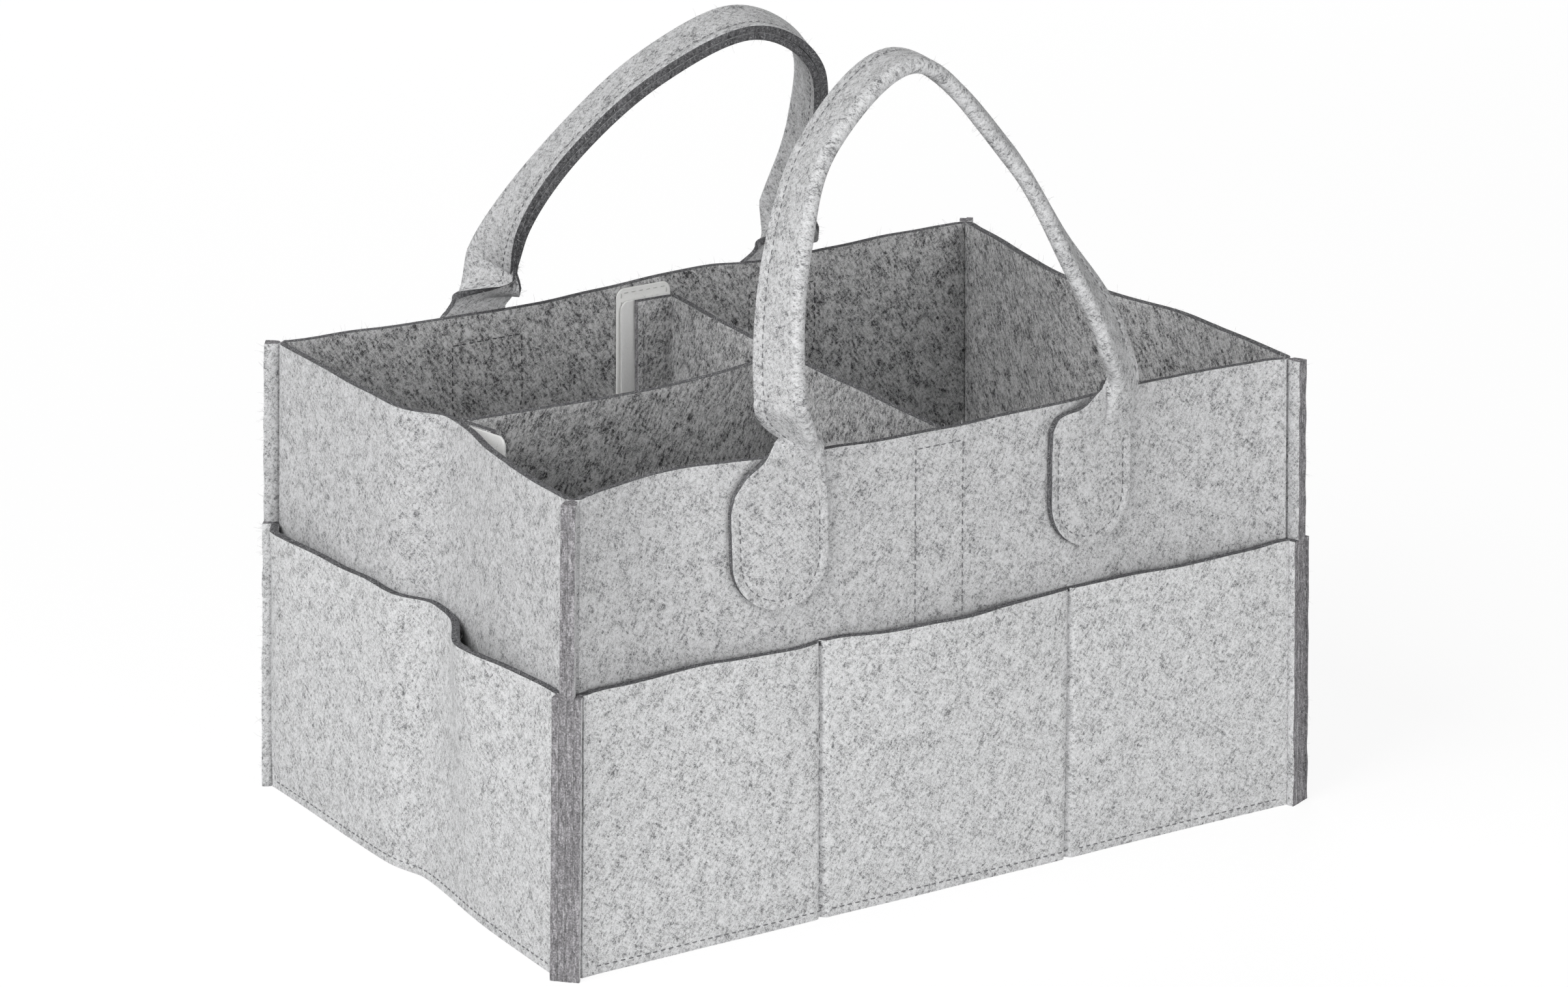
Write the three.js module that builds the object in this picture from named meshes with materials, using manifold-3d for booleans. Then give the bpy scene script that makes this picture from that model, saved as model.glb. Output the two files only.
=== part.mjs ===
// A felt diaper caddy: four felt walls sewn into upstanding corner seams, a sewn-in base, pockets
// all round the outside, two folded felt handles and a lift-out T-shaped divider that hook-and-loop
// tape holds to the walls. Millimetres, +Z up. The origin is on the floor under the middle, the
// front faces -Y and the long arm of the divider points to -X.
import * as THREE from 'three';
import { mergeVertices } from 'three/addons/utils/BufferGeometryUtils.js';
import Module from 'manifold-3d';

const wasm = await Module();
wasm.setup();

// Felt box
const LENGTH = 330; // outside the walls along X, at the floor
const WIDTH = 228; // outside the walls along Y, at the floor
const HEIGHT = 181; // walls
const END_LEAN = 4.4; // each end wall leans in this far at its top
const SIDE_LEAN = 2.2; // the front and back walls lean in this far
const FELT = 3; // felt as bought
const SEAM_FELT = 2.5; // felt pressed flat in a corner seam
const SEAM_ALLOWANCE = 6.5; // a corner seam stands out this far from the inner corner
const LAYER_GAP = 0.4; // between layers that lie on each other
const CORNER_RUN = 9; // from a corner to the first fold line along a wall
const FOLD_STEP = 14; // longest flat facet along a wall
const BASE_RIM = 5.5; // height of the base's turned-down edge, floor included

// How the walls are drawn in at the top: where, how far, and how wide the hollow is on either side
const FRONT_DRAW = [
  { at: -118, depth: 9.8, before: 30, after: 46 },
  { at: 102, depth: 5.8, before: 42, after: 55 },
];
const LEFT_DRAW = [{ at: -5, depth: 10, before: 40, after: 13 }];
const RIGHT_DRAW = [{ at: 17, depth: 12, before: 38, after: 60 }];
const LEFT_DRAW_AT_FLOOR = 0.5; // share of the left wall's draw that reaches the floor
const RIGHT_DRAW_AT_FLOOR = 0.3;

// Pockets
const POCKET_HEIGHT = 109;
const POCKET_SEAMS = [-56.5, 54.5]; // stitched lines along X that part a long side into pockets
const LONG_POCKET_GAPES = [7, 7, 7]; // how far each pocket of a long side stands open at the top
const LEFT_POCKET_GAPES = [
  { at: 96, depth: 5, before: 34, after: 15 },
  { at: -42, depth: 7, before: 26, after: 15 },
];
const RIGHT_POCKET_GAPES = [{ at: 10, depth: 9, before: 55, after: 55 }];
const GAPE_POWER = 1.3; // a pocket opens faster towards its top

// Handles
const TAB_SPREAD = 137; // between the middles of a handle's two tabs
const FRONT_HANDLE_SHIFT = -4; // the front handle is sewn a little left of the middle
const FRONT_HANDLE_SEAT = 1.6; // and sits this much deeper, as the wall is drawn in there
const TAB_WIDTH = 38;
const TAB_LENGTH = 56;
const TAB_SHOULDER = 13; // height over which a tab narrows to the strap
const TAB_DROP = 0.9; // a tab ends this far below the wall's top
const STRAP_WIDTH = 21;
const STRAP_THICKNESS = 5.6; // two layers of felt
const STRAP_SLIT = 0.3; // half the slit between the two layers at the sewn edge
const STRAP_SLIT_DEPTH = 2;
const STRAP_ROUND = 0.6; // share of half the thickness that rounds the folded edge
const FRONT_LEAN = 9; // degrees that each handle leans in, as it stands
const BACK_LEAN = 28;
// Each loop's middle line: along X from the handle's middle, and up its leaning plane
const FRONT_LOOP = [
  [-68.5, 0], [-68, 40], [-61, 76], [-45, 112], [-5, 138],
  [37, 97], [59, 55], [70.5, 24], [68.6, 6], [68.5, 0],
];
const BACK_LOOP = [
  [-68.5, 0], [-63, 45], [-46, 82], [-20, 113], [16, 130], [52, 108], [65, 66], [68, 33], [68.5, 0],
];
const STRAP_STEPS = 44;

// Divider
const TAPE = 1; // thickness of hook and of loop tape
const TAPE_WIDTH = 25;
const TAPE_TOP_DROP = 4; // a wall's tape ends this far below the wall's top
const TAPE_BOTTOM = 9; // tapes start this far above the floor
const TAPE_CORNER = 4;
const BACK_TAPE_X = 4.5;
const FRONT_TAPE_X = -3.5;
const LEFT_TAPE_Y = -16.5;
const FLANGE_WIDTH = 17.5;
const CROSS_TOP = HEIGHT - 7; // top edge of the cross divider
const ARM_TOP = HEIGHT - 3; // top edge of the long divider where it meets the left wall
const CROSS_FRONT_X = 10; // the cross divider runs straight back from here
const CROSS_BACK_SWAY = 5; // and sways this far to the right at the back wall
const ARM_LEFT_Y = -2; // the long divider leaves the left wall here
const ARM_SWAY = 18; // and sways this far back where it meets the cross divider
const ARM_STRAIGHT = 75; // length of the long divider before it starts to sway

// Looks and fineness
const FELT_LOOK = { color: 0xb0b1b3, roughness: 0.95 };
const TAPE_LOOK = { color: 0xf1f1ee, roughness: 0.7 };
const CURVE_STEPS = 7; // facets in each rounded part of an outline
const CUT_DEPTH = 60; // thickness of the block that cuts a patch out of a wall's skin

// Sizes that follow from these
const ROOT2 = Math.SQRT2;
const lerp = THREE.MathUtils.lerp;
const halfLength = (z) => LENGTH / 2 - (END_LEAN * z) / HEIGHT;
const halfWidth = (z) => WIDTH / 2 - (SIDE_LEAN * z) / HEIGHT;
const UPPER_LEVEL = (POCKET_HEIGHT + HEIGHT) / 2;
const POCKET_LEVELS = [0, POCKET_HEIGHT / 3, (POCKET_HEIGHT * 2) / 3, POCKET_HEIGHT];
const WALL_LEVELS = [...POCKET_LEVELS, UPPER_LEVEL, HEIGHT];

// A smooth hollow or swelling along a wall, given as where, how deep and how wide on each side
function swell(list, u) {
  let sum = 0;
  for (const { at, depth, before, after } of list) {
    const width = u < at ? before : after;
    sum += depth * Math.exp(-(((u - at) / width) ** 2));
  }
  return sum;
}

// Places along a run, no further apart than a step, that always include the given breaks
function placesAlong(low, high, breaks, step) {
  const marks = [low, ...breaks, high];
  const places = [low];
  for (let i = 1; i < marks.length; i += 1) {
    const count = Math.max(1, Math.ceil((marks[i] - marks[i - 1]) / step));
    for (let k = 1; k <= count; k += 1) {
      places.push(lerp(marks[i - 1], marks[i], k / count));
    }
  }
  return places;
}

// Value at u of a line that is straight between the places
function between(places, values, u) {
  let i = 0;
  while (i < places.length - 2 && u > places[i + 1]) {
    i += 1;
  }
  const share = (u - places[i]) / (places[i + 1] - places[i]);
  return lerp(values[i], values[i + 1], share);
}

// A wall runs along X (front and back) or along Y (left and right) on one side of the box.
// Depths are measured outwards from its outer face.
function makeWall(run, side, draws, floorShare, breaks) {
  const across = run === 'x' ? halfWidth : halfLength;
  const along = run === 'x' ? halfLength : halfWidth;
  const reach = along(HEIGHT) - CORNER_RUN;
  const folds = placesAlong(-reach, reach, breaks, FOLD_STEP);
  const drawn = folds.map((u) => swell(draws, u));
  const share = (z) => lerp(floorShare, 1, z / HEIGHT);

  const point = (u, z, depth) => {
    const out = side * (across(z) + depth - between(folds, drawn, u) * share(z));
    return run === 'x' ? new THREE.Vector3(u, out, z) : new THREE.Vector3(out, u, z);
  };

  // The end of a layer: its fold at the corner, and its edge at the tip of the corner seam
  const corner = (end, z, depth, seamOffset) => {
    const sx = run === 'x' ? end : side;
    const sy = run === 'x' ? side : end;
    const inner = new THREE.Vector3(sx * (halfLength(z) - FELT), sy * (halfWidth(z) - FELT), z);
    const outward = FELT + depth;
    const back = outward - ROOT2 * seamOffset;
    const fold = inner.clone();
    fold.x += sx * (run === 'x' ? back : outward);
    fold.y += sy * (run === 'x' ? outward : back);
    const turn = run === 'x' ? 1 : -1;
    const tip = inner.clone();
    tip.x += (sx * (SEAM_ALLOWANCE - turn * seamOffset)) / ROOT2;
    tip.y += (sy * (SEAM_ALLOWANCE + turn * seamOffset)) / ROOT2;
    return { fold, tip };
  };

  // One level of a layer, from seam tip to seam tip
  const row = (z, depthAt, endDepth, seamOffset) => {
    const low = corner(-1, z, endDepth, seamOffset);
    const high = corner(1, z, endDepth, seamOffset);
    const middle = folds.map((u) => point(u, z, depthAt(u)));
    return [low.tip, low.fold, ...middle, high.fold, high.tip];
  };
  return { run, side, folds, point, row, across };
}

const tabMiddles = (shift) => [shift - TAB_SPREAD / 2, shift + TAB_SPREAD / 2];
const wallFront = makeWall('x', -1, FRONT_DRAW, 0, POCKET_SEAMS);
const wallBack = makeWall('x', 1, [], 0, POCKET_SEAMS);
const wallLeft = makeWall('y', -1, LEFT_DRAW, LEFT_DRAW_AT_FLOOR, [LEFT_DRAW[0].at]);
const wallRight = makeWall('y', 1, RIGHT_DRAW, RIGHT_DRAW_AT_FLOOR, [RIGHT_DRAW[0].at]);

// Turns a closed geometry the right way out
function facingOut(geometry) {
  const p = geometry.attributes.position;
  const index = geometry.index.array;
  const [a, b, c] = [new THREE.Vector3(), new THREE.Vector3(), new THREE.Vector3()];
  let volume = 0;
  for (let i = 0; i < index.length; i += 3) {
    a.fromBufferAttribute(p, index[i]);
    b.fromBufferAttribute(p, index[i + 1]);
    c.fromBufferAttribute(p, index[i + 2]);
    volume += a.dot(b.cross(c));
  }
  if (volume < 0) {
    for (let i = 0; i < index.length; i += 3) {
      [index[i], index[i + 1]] = [index[i + 1], index[i]];
    }
  }
  geometry.computeVertexNormals();
  return geometry;
}

// A closed sheet between two faces, each a list of rows of points
function sheet(faceA, faceB) {
  const rows = faceA.length;
  const columns = faceA[0].length;
  const points = [...faceA.flat(), ...faceB.flat()];
  const at = (face, row, column) => (face * rows + row) * columns + column;
  const index = [];
  const quad = (a, b, c, d) => index.push(a, b, c, a, c, d);
  for (let r = 0; r < rows - 1; r += 1) {
    for (let c = 0; c < columns - 1; c += 1) {
      quad(at(0, r, c), at(0, r, c + 1), at(0, r + 1, c + 1), at(0, r + 1, c));
      quad(at(1, r, c), at(1, r + 1, c), at(1, r + 1, c + 1), at(1, r, c + 1));
    }
  }
  const top = rows - 1;
  for (let c = 0; c < columns - 1; c += 1) {
    quad(at(0, 0, c), at(1, 0, c), at(1, 0, c + 1), at(0, 0, c + 1));
    quad(at(0, top, c), at(0, top, c + 1), at(1, top, c + 1), at(1, top, c));
  }
  const last = columns - 1;
  for (let r = 0; r < rows - 1; r += 1) {
    quad(at(0, r, 0), at(0, r + 1, 0), at(1, r + 1, 0), at(1, r, 0));
    quad(at(0, r, last), at(1, r, last), at(1, r + 1, last), at(0, r + 1, last));
  }
  const geometry = new THREE.BufferGeometry().setFromPoints(points);
  geometry.setIndex(index);
  return facingOut(geometry);
}

// Boolean work on closed geometries
function solidOf(geometry) {
  const bare = geometry.clone();
  bare.deleteAttribute('normal');
  bare.deleteAttribute('uv');
  const merged = mergeVertices(bare);
  return new wasm.Manifold(new wasm.Mesh({
    numProp: 3,
    vertProperties: new Float32Array(merged.attributes.position.array),
    triVerts: new Uint32Array(merged.index.array),
  }));
}

function geometryOf(solid) {
  const mesh = solid.getMesh();
  const geometry = new THREE.BufferGeometry();
  geometry.setAttribute('position', new THREE.BufferAttribute(mesh.vertProperties, 3));
  geometry.setIndex(new THREE.BufferAttribute(mesh.triVerts, 1));
  geometry.computeVertexNormals();
  return geometry;
}

// Walls and pockets
const SEAM_WALL_INNER = LAYER_GAP / 2;
const SEAM_WALL_OUTER = SEAM_WALL_INNER + SEAM_FELT;
const SEAM_POCKET_INNER = SEAM_WALL_OUTER + LAYER_GAP;
const SEAM_POCKET_OUTER = SEAM_POCKET_INNER + SEAM_FELT;

function wallPanel(wall) {
  const outer = WALL_LEVELS.map((z) => wall.row(z, () => 0, 0, SEAM_WALL_OUTER));
  const inner = WALL_LEVELS.map((z) => wall.row(z, () => -FELT, -FELT, SEAM_WALL_INNER));
  return sheet(outer, inner);
}

function pocketPanel(wall, gapeAt) {
  const open = (u, z) => gapeAt(u) * (z / POCKET_HEIGHT) ** GAPE_POWER;
  const face = (depth, seamOffset) => POCKET_LEVELS.map(
    (z) => wall.row(z, (u) => depth + open(u, z), depth, seamOffset));
  return sheet(face(LAYER_GAP + FELT, SEAM_POCKET_OUTER), face(LAYER_GAP, SEAM_POCKET_INNER));
}

// A long side's pocket panel is sewn down at the corners and at its stitched lines
function longGape(u) {
  const ends = [-halfLength(0), ...POCKET_SEAMS, halfLength(0)];
  let i = 0;
  while (i < LONG_POCKET_GAPES.length - 1 && u > ends[i + 1]) {
    i += 1;
  }
  const share = (u - ends[i]) / (ends[i + 1] - ends[i]);
  return LONG_POCKET_GAPES[i] * Math.sin(Math.PI * THREE.MathUtils.clamp(share, 0, 1));
}

// A flat outline given a thickness along +Z
function extruded(outline, depth) {
  return new THREE.ExtrudeGeometry(outline, { depth, bevelEnabled: false, curveSegments: CURVE_STEPS });
}

// The base: a felt floor whose edge is turned down and sewn inside the foot of the walls
function basePanel() {
  const outline = (inset) => {
    const depth = -FELT - inset;
    const cornerAt = (sx, sy) => new THREE.Vector2(
      sx * (halfLength(BASE_RIM) + depth), sy * (halfWidth(BASE_RIM) + depth));
    const along = (wall) => wall.folds.map((u) => {
      const p = wall.point(u, BASE_RIM, depth);
      return new THREE.Vector2(p.x, p.y);
    });
    return new THREE.Shape([
      cornerAt(-1, -1), ...along(wallFront),
      cornerAt(1, -1), ...along(wallRight),
      cornerAt(1, 1), ...along(wallBack).reverse(),
      cornerAt(-1, 1), ...along(wallLeft).reverse(),
    ]);
  };
  const underside = BASE_RIM - FELT;
  const block = extruded(outline(LAYER_GAP), BASE_RIM);
  const hollow = extruded(outline(LAYER_GAP + FELT), underside * 2);
  hollow.translate(0, 0, -underside);
  return geometryOf(solidOf(block).subtract(solidOf(hollow)));
}

// A patch that lies on a wall between two depths, cut to an outline drawn on the wall's plane
function patchOnWall(wall, levels, depthA, depthB, outline) {
  const box = new THREE.Box2().setFromPoints(outline.getPoints());
  const margin = FOLD_STEP + 1;
  const folds = wall.folds.filter((u) => u > box.min.x - margin && u < box.max.x + margin);
  const face = (depth) => levels.map((z) => folds.map((u) => wall.point(u, z, depth)));
  const cutter = extruded(outline, CUT_DEPTH);
  cutter.translate(0, 0, -CUT_DEPTH / 2);
  cutter.rotateX(Math.PI / 2);
  if (wall.run === 'x') {
    cutter.translate(0, wall.side * wall.across(0), 0);
  } else {
    cutter.rotateZ(Math.PI / 2);
    cutter.translate(wall.side * wall.across(0), 0, 0);
  }
  return geometryOf(solidOf(sheet(face(depthA), face(depthB))).intersect(solidOf(cutter)));
}

// Handle tab: a round-ended tongue that narrows to the strap at the wall's top
function tabOutline(middle) {
  const half = TAB_WIDTH / 2;
  const neck = STRAP_WIDTH / 2;
  const top = HEIGHT - TAB_DROP;
  const shoulder = top - TAB_SHOULDER;
  const round = top - TAB_LENGTH + half;
  const shape = new THREE.Shape();
  shape.moveTo(middle + neck, top);
  shape.lineTo(middle - neck, top);
  shape.bezierCurveTo(middle - neck, top - TAB_SHOULDER / 2, middle - half, shoulder + TAB_SHOULDER / 3,
    middle - half, shoulder);
  shape.lineTo(middle - half, round);
  shape.absarc(middle, round, half, Math.PI, 2 * Math.PI, false);
  shape.lineTo(middle + half, shoulder);
  shape.bezierCurveTo(middle + half, shoulder + TAB_SHOULDER / 3, middle + neck, top - TAB_SHOULDER / 2,
    middle + neck, top);
  return shape;
}

const TAB_LEVELS = WALL_LEVELS.filter((z) => z >= POCKET_HEIGHT);
const handleTab = (wall, middle) => patchOnWall(
  wall, TAB_LEVELS, LAYER_GAP, LAYER_GAP + FELT, tabOutline(middle));

// Tapes: upright strips with rounded corners on the inside of a wall
function tapeOutline(middle, bottom, top) {
  const half = TAPE_WIDTH / 2;
  const r = TAPE_CORNER;
  const shape = new THREE.Shape();
  shape.absarc(middle + half - r, top - r, r, 0, Math.PI / 2, false);
  shape.absarc(middle - half + r, top - r, r, Math.PI / 2, Math.PI, false);
  shape.absarc(middle - half + r, bottom + r, r, Math.PI, Math.PI * 1.5, false);
  shape.absarc(middle + half - r, bottom + r, r, Math.PI * 1.5, Math.PI * 2, false);
  return shape;
}

const LOOP_NEAR = -FELT - LAYER_GAP;
const LOOP_FAR = LOOP_NEAR - TAPE;
const HOOK_NEAR = LOOP_FAR - LAYER_GAP;
const HOOK_FAR = HOOK_NEAR - TAPE;
const FLANGE_NEAR = HOOK_FAR - LAYER_GAP;
const FLANGE_FAR = FLANGE_NEAR - FELT;
const loopTape = (wall, middle) => patchOnWall(
  wall, WALL_LEVELS, LOOP_NEAR, LOOP_FAR, tapeOutline(middle, TAPE_BOTTOM, HEIGHT - TAPE_TOP_DROP));

// Handle strap: felt folded lengthwise into two layers and sewn along one edge. It leaves its tabs
// flat to the wall and twists a quarter turn in each leg, so that it lies flat in the hand.
const HINGE_Y = halfWidth(HEIGHT) + FELT + 2 * LAYER_GAP + STRAP_THICKNESS / 2;

function strapSection() {
  const half = STRAP_WIDTH / 2;
  const thick = STRAP_THICKNESS / 2;
  const bevel = thick * STRAP_ROUND;
  return [
    [half, -thick], [half, -STRAP_SLIT], [half - STRAP_SLIT_DEPTH, 0], [half, STRAP_SLIT], [half, thick],
    [bevel - half, thick], [-half, thick - bevel], [-half, bevel - thick], [bevel - half, -thick],
  ];
}

function handleStrap({ side, shift, seat, lean: degrees, loop }) {
  const lean = THREE.MathUtils.degToRad(degrees);
  const up = new THREE.Vector3(0, -side * Math.sin(lean), Math.cos(lean));
  const out = new THREE.Vector3(0, side * Math.cos(lean), Math.sin(lean));
  const hinge = new THREE.Vector3(shift, side * (HINGE_Y - seat), HEIGHT);
  const line = new THREE.CatmullRomCurve3(loop.map(([along, high]) => hinge.clone()
    .addScaledVector(up, high).add(new THREE.Vector3(along, 0, 0))));
  const section = strapSection();
  const rings = [];
  for (let i = 0; i <= STRAP_STEPS; i += 1) {
    const share = i / STRAP_STEPS;
    const centre = line.getPointAt(share);
    const tangent = line.getTangentAt(share);
    const leg = THREE.MathUtils.smoothstep(Math.min(share, 1 - share), 0, 0.5);
    const twist = share < 0.5 ? (leg * Math.PI) / 2 : Math.PI - (leg * Math.PI) / 2;
    const width = new THREE.Vector3(side * Math.cos(twist), 0, 0);
    width.addScaledVector(out, -Math.sin(twist));
    width.addScaledVector(tangent, -width.dot(tangent)).normalize();
    const thick = tangent.clone().cross(width);
    const ring = section.map(
      ([w, t]) => centre.clone().addScaledVector(width, w).addScaledVector(thick, t));
    rings.push(ring);
  }
  const count = section.length;
  const index = [];
  for (let i = 0; i < STRAP_STEPS; i += 1) {
    for (let k = 0; k < count; k += 1) {
      const next = (k + 1) % count;
      const [low, high] = [i * count, (i + 1) * count];
      index.push(low + k, low + next, high + next, low + k, high + next, high + k);
    }
  }
  const outline = section.map(([w, t]) => new THREE.Vector2(w, t));
  const endCap = STRAP_STEPS * count;
  for (const [a, b, c] of THREE.ShapeUtils.triangulateShape(outline, [])) {
    index.push(c, b, a, endCap + a, endCap + b, endCap + c);
  }
  const geometry = new THREE.BufferGeometry().setFromPoints(rings.flat());
  geometry.setIndex(index);
  return facingOut(geometry);
}

// Divider: a cross piece from wall to wall and a long arm to the left wall. Their ends are folded
// into flanges that carry hook tape. The cross piece's flanges stand upright, so that they clear
// the leaning walls as the divider is lifted.
const FLOOR_TOP = BASE_RIM + LAYER_GAP;
const wallInside = halfWidth(HEIGHT);
const crossX = (y) => CROSS_FRONT_X + CROSS_BACK_SWAY * Math.max(0, y / wallInside) ** 2;

function crossDivider() {
  const flangeOuter = wallInside + FLANGE_NEAR;
  const flangeInner = wallInside + FLANGE_FAR;
  const half = FELT / 2;
  const runs = placesAlong(-flangeInner, flangeInner, [0], FOLD_STEP * 2).slice(1, -1).reverse();
  const face = (turn, flangeY) => {
    const across = (y) => crossX(y) + turn * half;
    return [
      [crossX(flangeY) - FLANGE_WIDTH, flangeY], [across(flangeY), flangeY],
      ...runs.map((y) => [across(y), y]),
      [across(-flangeY), -flangeY], [crossX(-flangeY) - FLANGE_WIDTH, -flangeY],
    ];
  };
  const rows = (plan) => [FLOOR_TOP, CROSS_TOP].map(
    (z) => plan.map(([x, y]) => new THREE.Vector3(x, y, z)));
  return sheet(rows(face(1, flangeOuter)), rows(face(-1, flangeInner)));
}

// Hook tape on a flange of the cross divider
function crossHookTape(side) {
  const y = side * (wallInside + (HOOK_NEAR + HOOK_FAR) / 2);
  const middle = crossX(y) + FELT / 2 - TAPE_WIDTH / 2;
  const tape = extruded(tapeOutline(middle, TAPE_BOTTOM, CROSS_TOP), TAPE);
  tape.rotateX(Math.PI / 2);
  tape.translate(0, y + TAPE / 2, 0);
  return geometryOf(solidOf(tape));
}

// The long arm's middle line, straight from the left wall and then swaying back to the cross piece
const ARM_END_Y = ARM_LEFT_Y + ARM_SWAY;
const armEndX = crossX(ARM_END_Y) - FELT / 2 - LAYER_GAP;
const armStartX = -wallLeft.across(HEIGHT);
const armBendX = armStartX + ARM_STRAIGHT;
const armShare = (x) => Math.max(0, (x - armBendX) / (armEndX - armBendX));
const armY = (x) => ARM_LEFT_Y + ARM_SWAY * armShare(x) ** 2;

function longDivider() {
  const half = FELT / 2;
  const flangeEnd = ARM_LEFT_Y - FLANGE_WIDTH;
  const folds = wallLeft.folds.filter((y) => y > flangeEnd && y < ARM_LEFT_Y - half);
  const firstX = armStartX - FLANGE_FAR + LEFT_DRAW[0].depth + FOLD_STEP;
  const runs = placesAlong(firstX, armEndX, [], FOLD_STEP);
  const topAt = (x) => lerp(ARM_TOP, CROSS_TOP, (x - armStartX) / (armEndX - armStartX));
  const rowsAt = (level, turn, depth) => {
    const flange = [flangeEnd, ...folds, ARM_LEFT_Y + turn * half].map((y) => {
      const z = lerp(FLOOR_TOP, ARM_TOP, level);
      return wallLeft.point(y, z, depth);
    });
    const arm = runs.map((x) => {
      const z = lerp(FLOOR_TOP, topAt(x), level);
      return new THREE.Vector3(x, armY(x) + turn * half, z);
    });
    return [...flange, ...arm];
  };
  const levels = [0, 1 / 4, 1 / 2, 3 / 4, 1];
  return sheet(
    levels.map((level) => rowsAt(level, 1, FLANGE_NEAR)),
    levels.map((level) => rowsAt(level, -1, FLANGE_FAR)),
  );
}

// Assembly
const caddy = new THREE.Group();
function add(name, geometry, look = FELT_LOOK) {
  const piece = new THREE.Mesh(geometry, new THREE.MeshStandardMaterial({ ...look, metalness: 0 }));
  piece.name = name;
  caddy.add(piece);
}

const walls = { front: wallFront, back: wallBack, left: wallLeft, right: wallRight };
const gapes = {
  front: longGape,
  back: longGape,
  left: (y) => swell(LEFT_POCKET_GAPES, y),
  right: (y) => swell(RIGHT_POCKET_GAPES, y),
};
for (const [name, wall] of Object.entries(walls)) {
  add(`${name}_panel`, wallPanel(wall));
  add(`${name}_pocket_panel`, pocketPanel(wall, gapes[name]));
}
add('base_panel', basePanel());

const handles = {
  front: { side: -1, shift: FRONT_HANDLE_SHIFT, seat: FRONT_HANDLE_SEAT, lean: FRONT_LEAN, loop: FRONT_LOOP },
  back: { side: 1, shift: 0, seat: 0, lean: BACK_LEAN, loop: BACK_LOOP },
};
for (const [name, handle] of Object.entries(handles)) {
  const [leftTab, rightTab] = tabMiddles(handle.shift);
  add(`${name}_handle_left_tab`, handleTab(walls[name], leftTab));
  add(`${name}_handle_right_tab`, handleTab(walls[name], rightTab));
  add(`${name}_handle_strap`, handleStrap(handle));
}

add('back_loop_tape', loopTape(wallBack, BACK_TAPE_X), TAPE_LOOK);
add('front_loop_tape', loopTape(wallFront, FRONT_TAPE_X), TAPE_LOOK);
add('left_loop_tape', loopTape(wallLeft, LEFT_TAPE_Y), TAPE_LOOK);
add('cross_divider', crossDivider());
add('back_hook_tape', crossHookTape(1), TAPE_LOOK);
add('front_hook_tape', crossHookTape(-1), TAPE_LOOK);
add('long_divider', longDivider());
add('left_hook_tape', patchOnWall(
  wallLeft, WALL_LEVELS, HOOK_NEAR, HOOK_FAR, tapeOutline(LEFT_TAPE_Y, TAPE_BOTTOM, ARM_TOP)), TAPE_LOOK);

export default caddy;
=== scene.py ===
"""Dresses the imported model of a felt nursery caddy: sewn felt walls, pockets, handles and divider.

Shapes are worked out in millimetres and turned into metres when a mesh is made.
"""

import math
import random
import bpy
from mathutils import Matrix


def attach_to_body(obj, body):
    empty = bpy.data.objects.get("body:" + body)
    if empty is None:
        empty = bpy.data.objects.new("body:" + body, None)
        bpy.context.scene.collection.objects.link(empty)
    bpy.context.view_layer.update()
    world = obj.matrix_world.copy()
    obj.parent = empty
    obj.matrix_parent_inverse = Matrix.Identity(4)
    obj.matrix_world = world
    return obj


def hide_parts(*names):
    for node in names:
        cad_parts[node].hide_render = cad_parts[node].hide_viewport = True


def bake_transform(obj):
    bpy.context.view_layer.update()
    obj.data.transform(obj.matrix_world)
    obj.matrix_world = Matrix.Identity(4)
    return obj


bl_info = {
    "name": "Felt caddy",
    "version": (1, 0, 0),
    "blender": (4, 5, 0),
    "location": "3D View > Sidebar > Caddy",
    "description": "Makes a sewn felt caddy with pockets, handles and a divider",
    "category": "Object",
}

from collections import namedtuple

import bpy
from bpy.props import FloatProperty, FloatVectorProperty, PointerProperty
from mathutils import Matrix, Vector, noise

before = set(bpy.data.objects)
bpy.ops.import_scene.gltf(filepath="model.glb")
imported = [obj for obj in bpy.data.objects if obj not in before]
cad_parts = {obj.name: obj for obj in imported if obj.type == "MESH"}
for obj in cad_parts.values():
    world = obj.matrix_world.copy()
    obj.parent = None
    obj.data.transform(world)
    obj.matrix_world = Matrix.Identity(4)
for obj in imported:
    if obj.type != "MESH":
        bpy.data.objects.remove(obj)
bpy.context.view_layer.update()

MM = 0.001

# The standing felt draws in along a wall: where, how deep, and how wide before and after that
FRONT_DRAW = [(-118, 9.8, 30, 46), (102, 5.8, 42, 55)]
LEFT_DRAW = [(-5, 10, 40, 13)]
RIGHT_DRAW = [(17, 12, 38, 60)]
LEFT_DRAW_AT_FLOOR = 0.5
RIGHT_DRAW_AT_FLOOR = 0.3
CORNER_FADE = 14
RIPPLE = 0.5
RIPPLE_LENGTH = 48

# How far the back wall's top edge is above its level, along X
BACK_TOP = [
    (-165, 0), (-130, -0.8), (-97, -2), (-60, -3), (-40, -2.8), (-15, -1.8), (10, -0.4), (35, 0.6),
    (50, -0.6), (64, -1.8), (90, -1.5), (130, -0.5), (165, 0),
]

# Sewn layers
END_LEAN = 4.4
SIDE_LEAN = 2.2
LAYER_GAP = 0.4
FOOT_TUCK = 0.7
FOOT_TUCK_SPAN = (5, 17)
SEAM_LENGTH = 7.6
SEAM_SHARE = 0.88
SEWN_SHARE = 0.2
WALL_SEAM_OFFSET = 0.05
POCKET_SEAM_OFFSET = 2.8
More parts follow.
